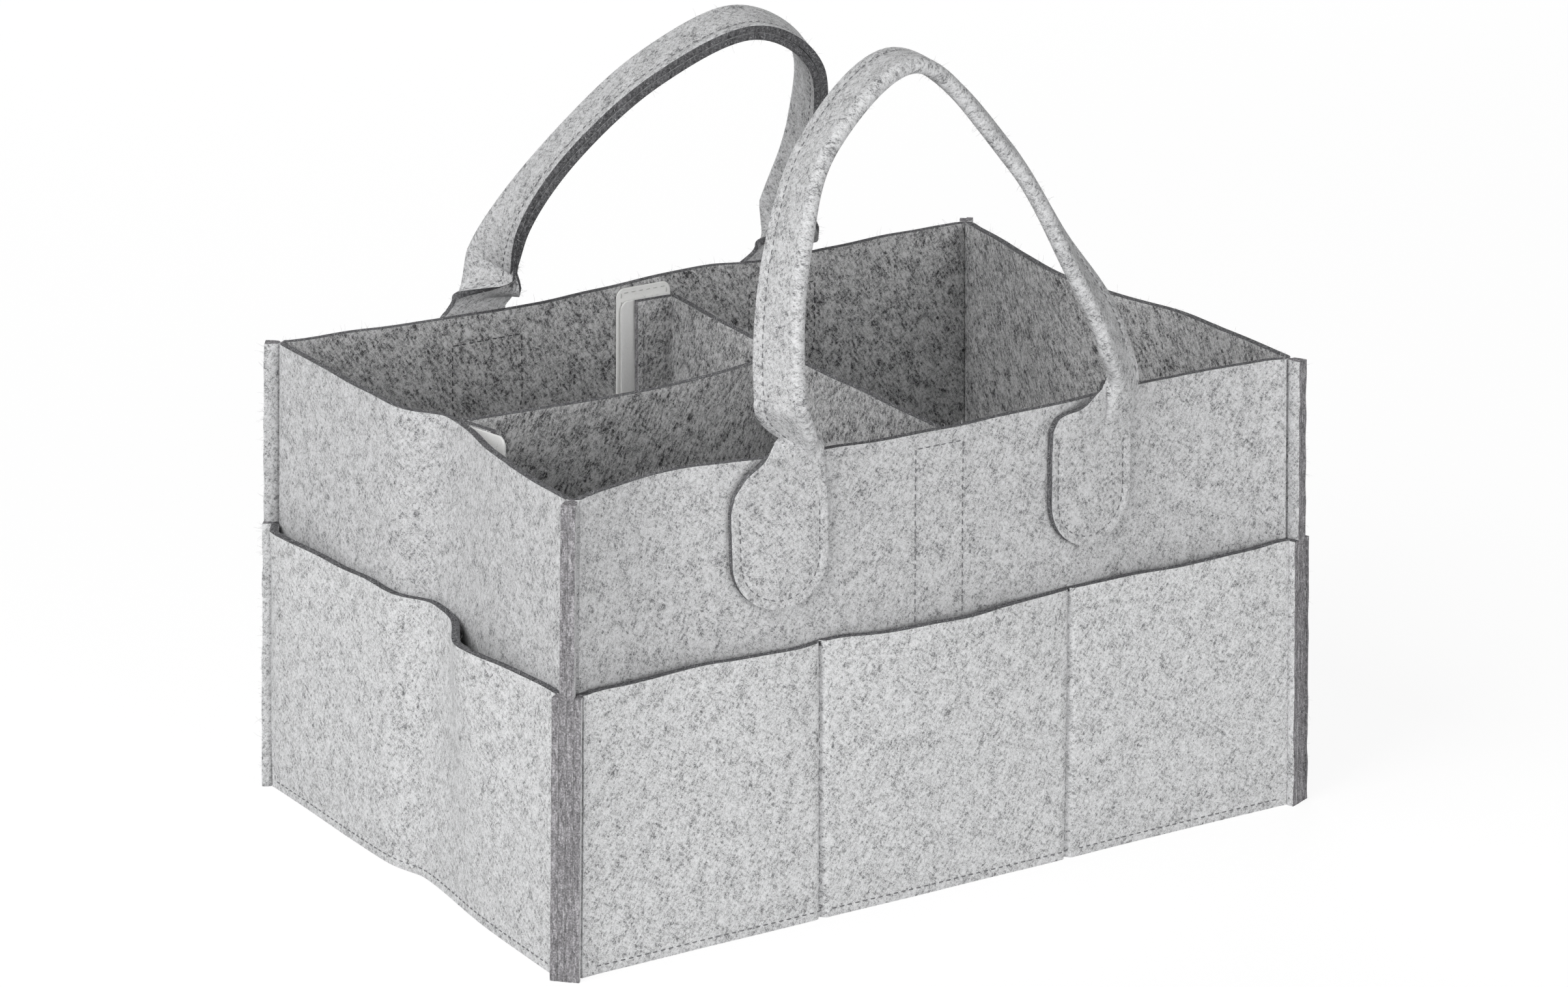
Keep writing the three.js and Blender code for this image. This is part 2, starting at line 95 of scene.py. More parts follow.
# The angle from a wall to its corner seam, in degrees, and how far the seam at each corner, by the signs of
# X and Y, turns from it towards the front or the back
SEAM_ANGLE = 45
SEAM_TURNS = {(1, -1): 22, (-1, 1): -8, (-1, -1): 0, (1, 1): 6}
SEWN_PLACE = 0.22
CREASE_KEEPS = 0.85
SEWN_SPREAD = 0.8
FIN_SHARES = [1, 0.65, 0.34, SEWN_PLACE, 0.1, 0]
CREASE_SHARES = [0.8, 0.45]
GRID_STEP = 3
REACH_MARGIN = 6
WALL_WAVE = 0.7
POCKET_WAVE = 1.2
TOP_WAVE_LENGTH = 23
TOP_SEED = 3.1
EDGE_ROUND = 0.32
EDGE_ANGLE = 62
SEAM_ROUND = 0.2
TIP_UNEVEN = 0.5
TIP_UNEVEN_LENGTH = 9
TIP_SEED = 2.3
# Finishes of a sheet's outside, inside, top edge and seam edge; the inside finish is felt darkened as
# painted shade
WALL_FINISHES = ("wall", "inside", "top_edge", "seam_edge")
POCKET_FINISHES = ("felt", "inside", "top_edge", "seam_edge")
HANDLE_FINISHES = ("wall", "wall", "top_edge", "top_edge")
INSIDE_FINISHES = ("inside", "inside", "top_edge", "seam_edge")
# The rim's place among them, and the least that a face of a top edge looks up or down
RIM = 2
TOP_EDGE_LOOKS_UP = 0.6

# Pockets
POCKET_SEAMS = [-56.5, 54.5]
LONG_GAPE = 4.2
LEFT_GAPES = [(96, 5, 34, 15), (-49, 9, 27, 18)]
RIGHT_GAPES = [(10, 9, 55, 55)]
SIDE_GAPE_FADE = (4, 13)
GAPE_POWER = 1.3
GAPE_LIMIT = 1.2
SEAM_DENT = 0.78
SEAM_DENT_WIDTH = 1.1

# Handles: middle line of each loop, along X from the handle's middle and up its leaning plane
FRONT_LOOP = [
    (-68.5, 0), (-68, 40), (-61, 76), (-45, 112), (-5, 138),
    (37, 97), (59, 57), (73.5, 30), (78, 12), (78, 0),
]
BACK_LOOP = [
    (-68.5, 0), (-63, 45), (-46, 82), (-20, 113), (16, 130),
    (52, 108), (65, 66), (68, 33), (68.5, 0),
]
# How far the strap's sewn edge is turned out of the handle's plane, in degrees, at shares of its length
FRONT_TURNS = [
    (0, 27), (0.04, 27), (0.1, 20), (0.18, 13), (0.25, 8), (0.32, 0), (0.42, 3), (0.5, 8),
    (0.6, 24), (0.72, 27), (0.8, 32), (0.88, 46), (0.93, 52), (1, 54),
]
BACK_TURNS = [
    (0, 50), (0.04, 44), (0.065, 34), (0.1, 14), (0.14, -4), (0.2, -16), (0.27, -21), (0.4, -19),
    (0.5, -16), (0.6, -8), (0.7, 3), (0.85, -6), (0.93, -30), (1, -50),
]
TAB_SPREAD = 137
TAB_BOTTOM = 124.3
TAB_STRAIGHT = 163
STRAP_FOLD_RADIUS = 1.6
STRAP_HALF_CUT = 20.4
STRAP_FOLD_TO_MIDDLE = 9
STRAP_FELT = 2.9
STRAP_COUNT = 110
LOOP_LINE_STEPS = 24
NECK_LINE_STEPS = 22
HINGE_FELT = 2.8
# Heights above the hinge, in metres, between which a strip would turn from its wall to its handle; worked
# out but unused
HANDLE_BEND = (-0.004, 0.011)
NECK_SHARE = 0.065
# Each leg's neck: where its fold line leaves the tab and passes the wall's top, the heights between which
# it leaves the wall and folds up, how far its outer and its folded layer reach from the fold line at
# heights above the floor, and where the tab lifts off the wall: middle, start, end, half width and rise
FRONT_LEFT_NECK = {
    "line": (-61, -60.5),
    "leaves": (179, 187),
    "folds": (179.5, 189),
    "outer": [
        (163, 30.5), (170, 29), (176, 25.3), (180, 20.5), (184, 15), (187, 13), (190, 16), (194, 19.3),
        (198, 20.4),
    ],
    "folded": [(163, 7.5), (178, 6), (182, 5), (188, 12), (198, 20.4)],
    "lifts": [(-84, 160, 182, 12, 2.2)],
}
FRONT_RIGHT_NECK = {
    "line": (72, 75),
    "leaves": (179, 188),
    "folds": (178, 190),
    "outer": [(163, 11.5), (183, 11.5), (188, 14.5), (194, 18), (200, 20.4)],
    "folded": [
        (163, 26.5), (172, 26), (176, 23.5), (178.5, 18.5), (180.5, 12.5), (182.5, 7), (185, 5), (190, 11),
        (202, 20.4),
    ],
    "lifts": [(77.5, 165, 181, 6.5, 4.2), (61.5, 166, 180, 9, 3.6), (70.6, 168, 179, 0.9, -2.6)],
}
BACK_RISE = [
    (163, 2), (176, 2), (180, 1.5), (184, 3), (186.5, 6), (189, 11), (191.5, 16), (194, 20.4),
]
BACK_FLAP = [(163, 36), (168, 34), (174, 29), (179, 25), (185, 24), (190, 23.5), (194, 22), (197, 20.4)]
BACK_LEFT_NECK = {
    "line": (-84.5, -77),
    "leaves": (183, 192),
    "folds": (177, 189),
    "outer": BACK_FLAP,
    "folded": BACK_RISE,
    "lifts": [],
}
BACK_RIGHT_NECK = {**BACK_LEFT_NECK, "line": (52.5, 63), "outer": BACK_RISE, "folded": BACK_FLAP}
NECK_FOOT = 177
# Rows of a tab's round end above its lowest point, and the steps of the rows above them
TAB_ROUND_RISES = [0.35, 0.9, 1.7, 2.8, 4.1, 5.6, 7.3, 9.2, 11.2, 13.3, 15.5, 17.8, 20.2]
TAB_STEP = 1.6
NECK_STEP = 0.9
# Where the fold line moves from a tab's middle to its neck, and how it then passes over the wall's top
FOLD_SHIFTS = (TAB_BOTTOM + 4, TAB_STRAIGHT - 3)
OVER_RISE = 4
OVER_SHARE = 0.35
GUIDE_BACK = 9
GUIDE_BEYOND = 1.25
NECK_CLEAR = (0.4, 0.6)
EDGE_INSETS = [0, 1.2, 2.2, 2.8, 3.3, 3.8, 4.6, 6, 8, 10.5, 13, 15.5]
FOLD_PLACES = [0, 0.7, 1.4, 2.1, 2.8, 3.6]
LEAST_BETWEEN = 1.4
TAB_STITCH_INSET = 3.3
TAB_SEWN = 43
TAB_SIDE_STEPS = 12
TAB_ROUND_STEPS = 18
STRAP_STITCH_INSET = 4.2
STITCH_PRESS = 0.38
STITCH_PRESS_WIDTH = 0.9
STITCH_SINKS = 0.62
NEARLY_FOLDED = 0.9
FULLY_FOLDED = 0.97

# Divider and its tapes
TAPE = 1
TAPE_PRESSED = 0.9
TAPE_ROUND = 0.2
TAPE_TOP_DROP = 4
BACK_TAPE_TOP_DROP = 2
TAPE_BOTTOM = 9
TAPE_CORNER = 4
TAPE_STITCH_INSET = 2
TAPE_STITCH_STEP = 3
TAPE_STITCH_SINKS = 0.1
TAPE_STEP = 4
BACK_TAPE_X = 2.5
FRONT_TAPE_X = -3.5
LEFT_TAPE_Y = -16.5
LOOP_DEPTH = -3.9
HOOK_DEPTH = -5.3
FLANGE_DEPTH = -7.7
FLANGE_WIDTH = 17.5
FLANGE_BEND = 3
BEND_GUIDE = 20
BEND_CLEAR = 1
BEND_STEPS = 5
FLANGE_STANDS_OFF = 5
FLANGE_STANDS_OFF_POWER = 1.3
FLOOR_TOP = 5.9
CROSS_TOP_DROP = 7
ARM_TOP_DROP = 3
CROSS_FRONT_X = 10
CROSS_BACK_SWAY = 5
ARM_LEFT_Y = -2
ARM_SWAY = 18
ARM_STRAIGHT = 75
ARM_COUNT = 60
ARM_FLANGE_COUNT = 7
CROSS_COUNT = 64
CROSS_FLANGE_COUNT = 5
DIVIDER_ROWS = 57
DIVIDER_WAVE = 0.5
DIVIDER_WAVE_LENGTH = 20
DIVIDER_SEED = 2.2
FLANGE_EDGE_INSET = 2.5
CROSS_BEND_INSET = 5
ARM_BEND_INSET = 6
FLANGE_STITCH_ENDS = 4
TAPE_SHOWS_BELOW = 12

# Base: its rim, how far it is pressed into the walls, the heights of its turned-down edge, the ring where
# it bends, shares of its size further in, and the middle that one face closes
BASE_RIM = 5.5
BASE_TUCK = 0.7
BASE_CORNER = 0.3
BASE_STEP = 6
BASE_EDGE = [0.1, 1.6, 2.9]
BASE_BEND_DROP = 0.25
BASE_BEND_SHARE = 0.996
BASE_SHARES = [0.99, 0.975, 0.95, 0.91, 0.86, 0.8, 0.7, 0.6, 0.5, 0.4, 0.3, 0.2, 0.1, 0.03]
BASE_MIDDLE = 0.06
WELD_DISTANCE = 0.00002

# Thread
STITCH_PITCH = 3.4
STITCH_SHARE = 0.78
STITCH_RADIUS = 0.24
STITCH_SIDES = 5
FOOT_STITCH_Z = 3.2
SEAM_STITCH_STEP = 4
SEAM_STITCH_FOOT = 3
SEAM_STITCH_GAPS = (1, 2)
POCKET_STITCH_RISE = 3
POCKET_STITCH_DROP = 1.5
INSIDE_STITCH_Z = 9
TACK_HALF = 0.9
TACK_STEP = 1
TACK_RISES = (0, 0.6, 1.2)

# Loose fibres
FIBRE_RADIUS = 0.05
FIBRE_SHORTEST = 0.7
FIBRE_LONGEST = 4
FIBRE_STRAY = 0.55
FIBRE_CURL = 0.5
FIBRE_STEPS = 3
FIBRE_SIDES = 3
FIBRE_TAPER = 0.6
FIBRE_SHORTNESS = 3
ROOT_DEPTH = 0.2
FACE_ROOT_DEPTH = 0.1
EDGE_FIBRE_MARGIN = 4
TIP_FIBRE_MARGINS = (2, 1)
EDGE_FIBRE_SPACING = 0.8
LEAST_EDGE_STEP = 0.1
RIM_STEP = 0.5
TIP_FIBRE_SPACING = 1.8
FACE_FIBRES = 900
DIVIDER_ROOTS_HALF = 1.4
DIVIDER_ROOTS_LEAN = 0.5

# Felt's pattern of flecks, streaks, crossing streaks and clumps: features per metre, roughness, stretch
# along the fibres, turn and distortion of each. Its specks are finer and have no direction.
FELT_LAYERS = [
    (1050, 0.7, 1.3, -0.3, 0.8),
    (900, 0.62, 2.8, -0.55, 0.6),
    (900, 0.62, 2.8, 0.9, 0.6),
    (180, 0.6, 1.5, -0.5, 0.4),
]
FELT_SPECKS = 2600

# Camera, from the photograph
CAMERA_EYE = (-1.1455, -1.7931, 0.8494)
CAMERA_AZIMUTH = -32.58
CAMERA_ELEVATION = 18.85
CAMERA_ROLL = 0.26
CAMERA_LENS = 133.88
CAMERA_SENSOR = 36

# Stage, in metres and watts. Each square light has a name, a place, a side and a power.
WHITE = (1, 1, 1, 1)
FLOOR_SIZE = 9
FLOOR_GLOW = 1.06
FLOOR_GLOW_SHARE = 0.84
AMBIENT = 0.09
LIGHT_TARGET = (0, 0, 0.09)
LIGHTS = [
    ("left_soft_box", (-2.2, -1.4, 1.0), 1.8, 22),
    ("front_soft_box", (0.3, -2.8, 0.8), 1.4, 35.5),
    ("back_soft_box", (1.4, 2.6, 0.9), 2.0, 52),
    ("high_soft_box", (-2.1, -0.3, 2.2), 1.8, 56),
]


def length_setting(name, description, default):
    """A length that a user may change, in metres."""
    return FloatProperty(
        name=name, description=description, default=default, min=0.0001, unit="LENGTH", precision=4)


def colour_setting(name, description, default):
    """A colour that a user may change."""
    return FloatVectorProperty(
        name=name, description=description, default=default, size=3, min=0, max=1, subtype="COLOR")


class CaddySizes(bpy.types.PropertyGroup):
    """Sizes of the caddy."""

    length: length_setting("Length", "Length of the foot from end to end", 0.330)
    width: length_setting("Width", "Width of the foot from front to back", 0.228)
    height: length_setting("Height", "Height of the walls", 0.181)
    felt: length_setting("Felt", "Thickness of the felt", 0.003)
    pocket_height: length_setting("Pocket height", "Height of the pocket panels", 0.109)
    tab_width: length_setting("Tab width", "Width of a handle's sewn tab", 0.038)
    tape_width: length_setting("Tape width", "Width of the hook and loop tape", 0.025)


class CaddyColours(bpy.types.PropertyGroup):
    """Colours of the felt, tape, thread and floor."""

    wall_light: colour_setting("Wall light fibre", "Pale fibres of walls and handles", (0.68, 0.682, 0.69))
    wall_dark: colour_setting("Wall dark fibre", "Grey fibres of walls and handles", (0.14, 0.141, 0.145))
    felt_light: colour_setting("Light fibre", "Pale fibres of the pockets", (0.77, 0.773, 0.78))
    felt_dark: colour_setting("Dark fibre", "Grey fibres of the pockets", (0.155, 0.156, 0.16))
    # The inside is the same felt as the walls; its darker grey fibres are painted shade
    inside_light: colour_setting("Inside light fibre", "Pale fibres of the inside", (0.67, 0.67, 0.673))
    inside_dark: colour_setting("Inside dark fibre", "Grey fibres of the inside", (0.057, 0.057, 0.059))
    top_edge: colour_setting("Top cut edge", "Felt that is cut along a top edge", (0.125, 0.125, 0.13))
    seam_edge: colour_setting("Seam cut edge", "Felt that is cut at a corner seam", (0.23, 0.224, 0.233))
    thread: colour_setting("Thread", "Sewing thread", (0.12, 0.12, 0.125))
    inside_thread: colour_setting("Inside thread", "Sewing thread as it shows inside", (0.03, 0.03, 0.032))
    loop_tape: colour_setting("Loop tape", "Brushed loop tape on the walls", (0.93, 0.93, 0.915))
    hook_tape: colour_setting("Hook tape", "Hook tape on the divider", (0.86, 0.86, 0.85))
    tape_thread: colour_setting("Tape thread", "Pale thread that sews the tapes on", (0.42, 0.42, 0.41))
    floor: colour_setting("Floor", "Floor that the caddy stands on", (0.86, 0.86, 0.86))


def size_of(name):
    """One of the caddy's sizes in millimetres."""
    return getattr(bpy.context.scene.caddy_sizes, name) / MM


def colour_of(name):
    """One of the caddy's colours with full alpha."""
    return (*getattr(bpy.context.scene.caddy_colours, name), 1.0)


def mix(a, b, share):
    return a + (b - a) * share


def ease(low, high, value):
    """0 below low, 1 above high and smooth between."""
    share = min(1.0, max(0.0, (value - low) / (high - low)))
    return share * share * (3 - 2 * share)


def swell(bumps, u):
    """Height at u of smooth bumps, each with its own width on either side."""
    total = 0.0
    for at, depth, before, after in bumps:
        width = before if u < at else after
        total += depth * math.exp(-(((u - at) / width) ** 2))
    return total


def curve(start, end, leaves, arrives, t):
    """A smooth value between two, with the slopes that it leaves and arrives with."""
    return (
        start * (2 * t ** 3 - 3 * t ** 2 + 1) + leaves * (t ** 3 - 2 * t ** 2 + t)
        + end * (3 * t ** 2 - 2 * t ** 3) + arrives * (t ** 3 - t ** 2))


def smooth_value(table, at):
    """A smooth value between the (place, value) rows of a table."""
    i = 0
    while i < len(table) - 2 and at > table[i + 1][0]:
        i += 1

    def slope(k):
        if k in (0, len(table) - 1):
            return 0.0
        (x0, y0), (x1, y1) = table[k - 1], table[k + 1]
        return (y1 - y0) / (x1 - x0)

    (x0, y0), (x1, y1) = table[i], table[i + 1]
    run = x1 - x0
    return curve(y0, y1, run * slope(i), run * slope(i + 1), (at - x0) / run)


def table_value(table, at):
    """A value between the (place, value) rows of a table, and its end values outside them."""
    if at <= table[0][0]:
        return table[0][1]
    for (x0, y0), (x1, y1) in zip(table, table[1:]):
        if at <= x1:
            return mix(y0, y1, (at - x0) / (x1 - x0))
    return table[-1][1]


def places_along(low, high, step, marks=()):
    """Places from low to high, about a step apart, closer together round each mark."""
    close = [0, 0.7, 1.4, 2.4]
    fine = sorted({m + s * c for m in marks for c in close for s in (-1, 1)})
    count = max(1, round((high - low) / step))
    even = [mix(low, high, i / count) for i in range(count + 1)]
    clear = [u for u in even if all(abs(u - f) > step / 3 for f in fine)]
    return sorted({low, high, *clear, *fine})


def run_lengths(points):
    """How far along a line each of its points is."""
    lengths = [0.0]
    for a, b in zip(points, points[1:]):
        lengths.append(lengths[-1] + (b - a).length)
    return lengths


def find_along(lengths, goal, i=0):
    """The step of a line, from step i on, that holds a length along it, and the share of that step."""
    while i < len(lengths) - 2 and lengths[i + 1] < goal:
        i += 1
    return i, (goal - lengths[i]) / max(1e-6, lengths[i + 1] - lengths[i])


# The walls and their layers of felt


class Wall:
    """One side of the caddy. It runs along X or Y, and depths are measured outwards from its outer face."""

    def __init__(self, name, run, side, draws, floor_share, seed):
        self.name = name
        self.run = run
        self.side = side
        self.draws = draws
        self.floor_share = floor_share
        self.seed = seed
        self.height = size_of("height")
        self.felt = size_of("felt")
        self.half_foot = (size_of("length") / 2, size_of("width") / 2)

    def half_length(self, z):
        return self.half_foot[0] - END_LEAN * z / self.height

    def half_width(self, z):
        return self.half_foot[1] - SIDE_LEAN * z / self.height

    def across(self, z):
        return self.half_width(z) if self.run == "x" else self.half_length(z)

    def along(self, z):
        return self.half_length(z) if self.run == "x" else self.half_width(z)

    def turns_out(self):
        """True where columns along +X or +Y and rows upwards face outwards."""
        return (self.side < 0) == (self.run == "x")

    def point(self, u, z, depth):
        fade = ease(0, CORNER_FADE, self.along(z) - abs(u))
        ripple = RIPPLE * noise.noise(Vector((u / RIPPLE_LENGTH, z / RIPPLE_LENGTH, self.seed)))
        drawn = swell(self.draws, u) * mix(self.floor_share, 1, z / self.height)
        out = self.side * (self.across(z) + depth + (ripple - drawn) * fade)
        return Vector((u, out, z)) if self.run == "x" else Vector((out, u, z))

    def signs(self, end):
        """The signs of X and Y at one end of the wall."""
        return (end, self.side) if self.run == "x" else (self.side, end)

    def corner(self, end, z, depth, seam_offset):
        """Where a layer folds at a corner, and the tip of its seam."""
        sx, sy = self.signs(end)
        inner = Vector((sx * (self.half_length(z) - self.felt), sy * (self.half_width(z) - self.felt), z))
        outward = self.felt + depth
        facing = 1 if self.run == "x" else -1
        angle = math.radians(SEAM_ANGLE + facing * SEAM_TURNS[sx, sy])
        uneven = noise.noise(Vector((z / TIP_UNEVEN_LENGTH, self.seed * TIP_SEED + seam_offset, end)))
        length = SEAM_LENGTH + TIP_UNEVEN * uneven
        at_fold = (outward / math.tan(angle) - seam_offset / math.sin(angle), outward)
        at_tip = (
            length * math.cos(angle) - seam_offset * math.sin(angle),
            length * math.sin(angle) + seam_offset * math.cos(angle))
        fold, tip = [
            inner + Vector((sx * x, sy * y, 0))
            for x, y in (step if self.run == "x" else step[::-1] for step in (at_fold, at_tip))]
        return fold, tip

    def face(self, u, z, depth_at, inwards=False):
        """A point on a layer's face and the way that the face looks."""
        step = 0.5
        here = self.point(u, z, depth_at(u, z))
        beside = self.point(u + step, z, depth_at(u + step, z)) - here
        above = self.point(u, z + step, depth_at(u, z + step)) - here
        normal = beside.cross(above).normalized()
        if self.turns_out() == inwards:
            normal.negate()
        return here, normal


def four_walls():
    """The four walls by name, each with a seed for its own unevenness."""
    return {
        "front": Wall("front", "x", -1, FRONT_DRAW, floor_share=0, seed=1.3),
        "back": Wall("back", "x", 1, [], floor_share=0, seed=4.1),
        "left": Wall("left", "y", -1, LEFT_DRAW, LEFT_DRAW_AT_FLOOR, seed=7.7),
        "right": Wall("right", "y", 1, RIGHT_DRAW, RIGHT_DRAW_AT_FLOOR, seed=9.2),
    }


class Layer:
    """A layer of felt that goes from corner seam to corner seam of a wall."""

    def __init__(self, wall, height, wave):
        self.wall = wall
        self.height = height
        self.wave = wave

    def level(self, u):
        """How far the top edge is above the layer's height."""
        return 0.0

    def top(self, u):
        """The height of the cut top edge, with its small unevenness."""
        uneven = noise.noise(Vector((u / TOP_WAVE_LENGTH, self.wall.seed * TOP_SEED, 0.5)))
        return self.height + self.level(u) + self.wave * uneven


class WallLayer(Layer):
    """A wall's own felt."""

    seam_offset = WALL_SEAM_OFFSET
    finishes = WALL_FINISHES
    marks = ()

    def __init__(self, wall):
        super().__init__(wall, wall.height, WALL_WAVE)
        self.end_depth = -wall.felt

    def level(self, u):
        return smooth_value(BACK_TOP, u) if self.wall.name == "back" else 0.0

    def depth(self, u, z):
        return self.end_depth

    def press(self, u):
        return 1.0


class PocketLayer(Layer):
    """A pocket panel, which stands away from its wall."""

    seam_offset = POCKET_SEAM_OFFSET
    finishes = POCKET_FINISHES
    end_depth = LAYER_GAP

    def __init__(self, wall):
        super().__init__(wall, size_of("pocket_height"), POCKET_WAVE)
        self.marks = POCKET_SEAMS if wall.run == "x" else ()

    def long_gape(self, u):
        """How far a long pocket's mouth stands open: closed at the corners and at the stitched lines."""
        half = self.wall.along(0)
        ends = [-half, *self.marks, half]
        i = sum(1 for seam in self.marks if u > seam)
        share = (u - ends[i]) / (ends[i + 1] - ends[i])
        return LONG_GAPE * math.sin(math.pi * min(1.0, max(0.0, share)))

    def side_gape(self, u, z):
        """How far a side pocket's mouth stands open."""
        bumps = LEFT_GAPES if self.wall.side < 0 else RIGHT_GAPES
        return swell(bumps, u) * ease(*SIDE_GAPE_FADE, self.wall.along(z) - abs(u))

    def depth(self, u, z):
        """How far the inner face is from the wall: its foot is sewn down tight."""
        gape = self.long_gape(u) if self.marks else self.side_gape(u, z)
        tuck = FOOT_TUCK * (1 - ease(*FOOT_TUCK_SPAN, z))
        rise = min(GAPE_LIMIT, max(0.0, z / self.height))
        return self.end_depth - tuck + gape * rise ** GAPE_POWER

    def press(self, u):
        """Share of its thickness that the felt keeps, pressed thin along a stitched line."""
        if not self.marks:
            return 1.0
        nearest = min(abs(u - seam) for seam in self.marks)
        return 1 - SEAM_DENT * math.exp(-((nearest / SEAM_DENT_WIDTH) ** 2))

    def outer(self, u, z):
        """How far the outer face is from the wall."""
        return self.depth(u, z) + self.wall.felt * self.press(u)


# Making meshes


def start_grid(name, columns, rows):
    """A flat grid of that many points, alone selected."""
    bpy.ops.object.select_all(action="DESELECT")
    bpy.ops.mesh.primitive_grid_add(x_subdivisions=columns - 1, y_subdivisions=rows - 1, size=1)
    piece = bpy.context.object
    piece.name = name
    piece.data.name = name
    if len(piece.data.vertices) != columns * rows:
        raise RuntimeError(f"{name}: the grid has {len(piece.data.vertices)} points")
    return piece


def lay_flat(piece, points, columns, cut_at):
    """Gives a grid a UV map with the size, in metres, of the cloth as it was cut. Returns that size.

    cut_at(column, row), where it is given, tells how far across the cut a grid point is.
    """
    us = run_lengths(points[len(points) // 2])
    vs = run_lengths([row[columns // 2] for row in points])
    layer = piece.data.uv_layers.active
    for loop in piece.data.loops:
        row, column = divmod(loop.vertex_index, columns)
        across = cut_at(column, row) if cut_at else us[column]
        layer.data[loop.index].uv = (across * MM, vs[row] * MM)
    return us[-1] * MM, vs[-1] * MM


def apply_modifier(piece, modifier):
    bpy.context.view_layer.objects.active = piece
    bpy.ops.object.modifier_apply(modifier=modifier.name)


def thicken(piece, thickness, offset, finishes, group=None, rounding=EDGE_ROUND):
    """Gives a sheet its thickness, its four finishes and soft cut edges."""
    for finish in finishes:
        piece.data.materials.append(material_for(finish))
    solid = piece.modifiers.new("Thickness", "SOLIDIFY")
    solid.thickness = thickness * MM
    solid.offset = offset
    solid.use_even_offset = offset != 0
    solid.material_offset = 1
    solid.material_offset_rim = RIM
    if group:
        solid.vertex_group = group
        solid.thickness_vertex_group = 0
    apply_modifier(piece, solid)
    bevel = piece.modifiers.new("Cut edge", "BEVEL")
    bevel.width = rounding * MM
    bevel.segments = 2
    bevel.limit_method = "ANGLE"
    bevel.angle_limit = math.radians(EDGE_ANGLE)
    apply_modifier(piece, bevel)
    bpy.ops.object.shade_smooth()
    for polygon in piece.data.polygons:
        if polygon.material_index == RIM and abs(polygon.normal.z) < TOP_EDGE_LOOKS_UP:
            polygon.material_index = RIM + 1


def shaped_sheet(
        name, columns, rows, place, thickness, offset, finishes,
        weight=None, rounding=EDGE_ROUND, cut_at=None):
    """A sheet whose grid points go to place(column, row). Returns it and its flat size in metres."""
    piece = start_grid(name, columns, rows)
    points = [[place(c, r) for c in range(columns)] for r in range(rows)]
    for index, vertex in enumerate(piece.data.vertices):
        row, column = divmod(index, columns)
        vertex.co = points[row][column] * MM
    flat = lay_flat(piece, points, columns, cut_at)
    group = None
    if weight:
        group = piece.vertex_groups.new(name="thickness")
        for index in range(columns * rows):
            row, column = divmod(index, columns)
            group.add([index], weight(column, row), "REPLACE")
    thicken(piece, thickness, offset, finishes, group.name if group else None, rounding)
    if group:
        piece.vertex_groups.clear()
    return piece, flat


def sewn_layer(name, layer):
    """Makes a layer of felt from corner seam to corner seam. Returns it and its flat size in metres."""
    wall = layer.wall
    reach = wall.along(wall.height) - REACH_MARGIN
    places = places_along(-reach, reach, GRID_STEP, layer.marks)
    rows = round(layer.height / GRID_STEP) + 1
    seam = [("fin", share) for share in FIN_SHARES] + [("crease", share) for share in CREASE_SHARES]
    columns = [(kind, -1, share) for kind, share in seam]
    columns += [("wall", u, 0) for u in places]
    columns += [(kind, 1, share) for kind, share in reversed(seam)]
    if not wall.turns_out():
        columns.reverse()

    def place(column, row):
        kind, where, share = columns[column]
        level = row / (rows - 1)
        if kind == "wall":
            z = level * layer.top(where)
            return wall.point(where, z, layer.depth(where, z))
        z = level * layer.top(where * wall.along(0))
        fold, tip = wall.corner(where, z, layer.end_depth, layer.seam_offset)
        if kind == "fin":
            return fold.lerp(tip, share)
        last = places[0] if where < 0 else places[-1]
        return wall.point(last, z, layer.depth(last, z)).lerp(fold, share)

    def weight(column, row):
        kind, where, share = columns[column]
        if kind == "wall":
            return layer.press(where)
        if kind == "crease":
            return mix(1, CREASE_KEEPS, share)
        away = abs(share - SEWN_PLACE) / SEWN_PLACE
        return mix(SEWN_SHARE, SEAM_SHARE, ease(0, SEWN_SPREAD, away))

    piece, flat = shaped_sheet(
        name, len(columns), rows, place, wall.felt, 1, layer.finishes, weight, SEAM_ROUND)
    for polygon in piece.data.polygons:
        x, y, z = polygon.center / MM
        at_corner = abs(x) > wall.half_length(z) - wall.felt and abs(y) > wall.half_width(z) - wall.felt
        if polygon.material_index == RIM and at_corner:
            polygon.material_index = RIM + 1
    return piece, flat


# Materials


def feed(tree, node, values):
    """Sets a node's inputs, by name or number: an output is linked, and anything else is a fixed value."""
    for key, value in values.items():
        if isinstance(value, bpy.types.NodeSocket):
            tree.links.new(value, node.inputs[key])
        else:
            node.inputs[key].default_value = value


def add_node(tree, kind, values, **options):
    """Adds a node with its options and its inputs."""
    node = tree.nodes.new(kind)
    for name, value in options.items():
        setattr(node, name, value)
    feed(tree, node, values)
    return node


def calculate(tree, operation, *values):
    """A calculation with outputs and fixed values."""
    return add_node(tree, "ShaderNodeMath", dict(enumerate(values)), operation=operation).outputs["Value"]


def new_material(name):
    """A node material: returns it, its node tree and its shader."""
    material = bpy.data.materials.new(name)
    material.use_nodes = True
    return material, material.node_tree, material.node_tree.nodes["Principled BSDF"]


def coordinates(tree, kind):
    return add_node(tree, "ShaderNodeTexCoord", {}).outputs[kind]


def cloth_noise(tree, source, scale, detail, roughness, stretch=(1, 1, 1), turn=0.0, distortion=0.0):
    """Noise over the flat cloth, stretched along its fibres. The scale is in features per metre."""
    mapping = add_node(
        tree, "ShaderNodeMapping", {"Scale": stretch, "Rotation": (0, 0, turn), "Vector": source},
        vector_type="TEXTURE")
    texture = add_node(tree, "ShaderNodeTexNoise", {
        "Scale": scale, "Detail": detail, "Roughness": roughness, "Distortion": distortion,
        "Vector": mapping.outputs["Vector"]})
    return texture.outputs["Fac"]


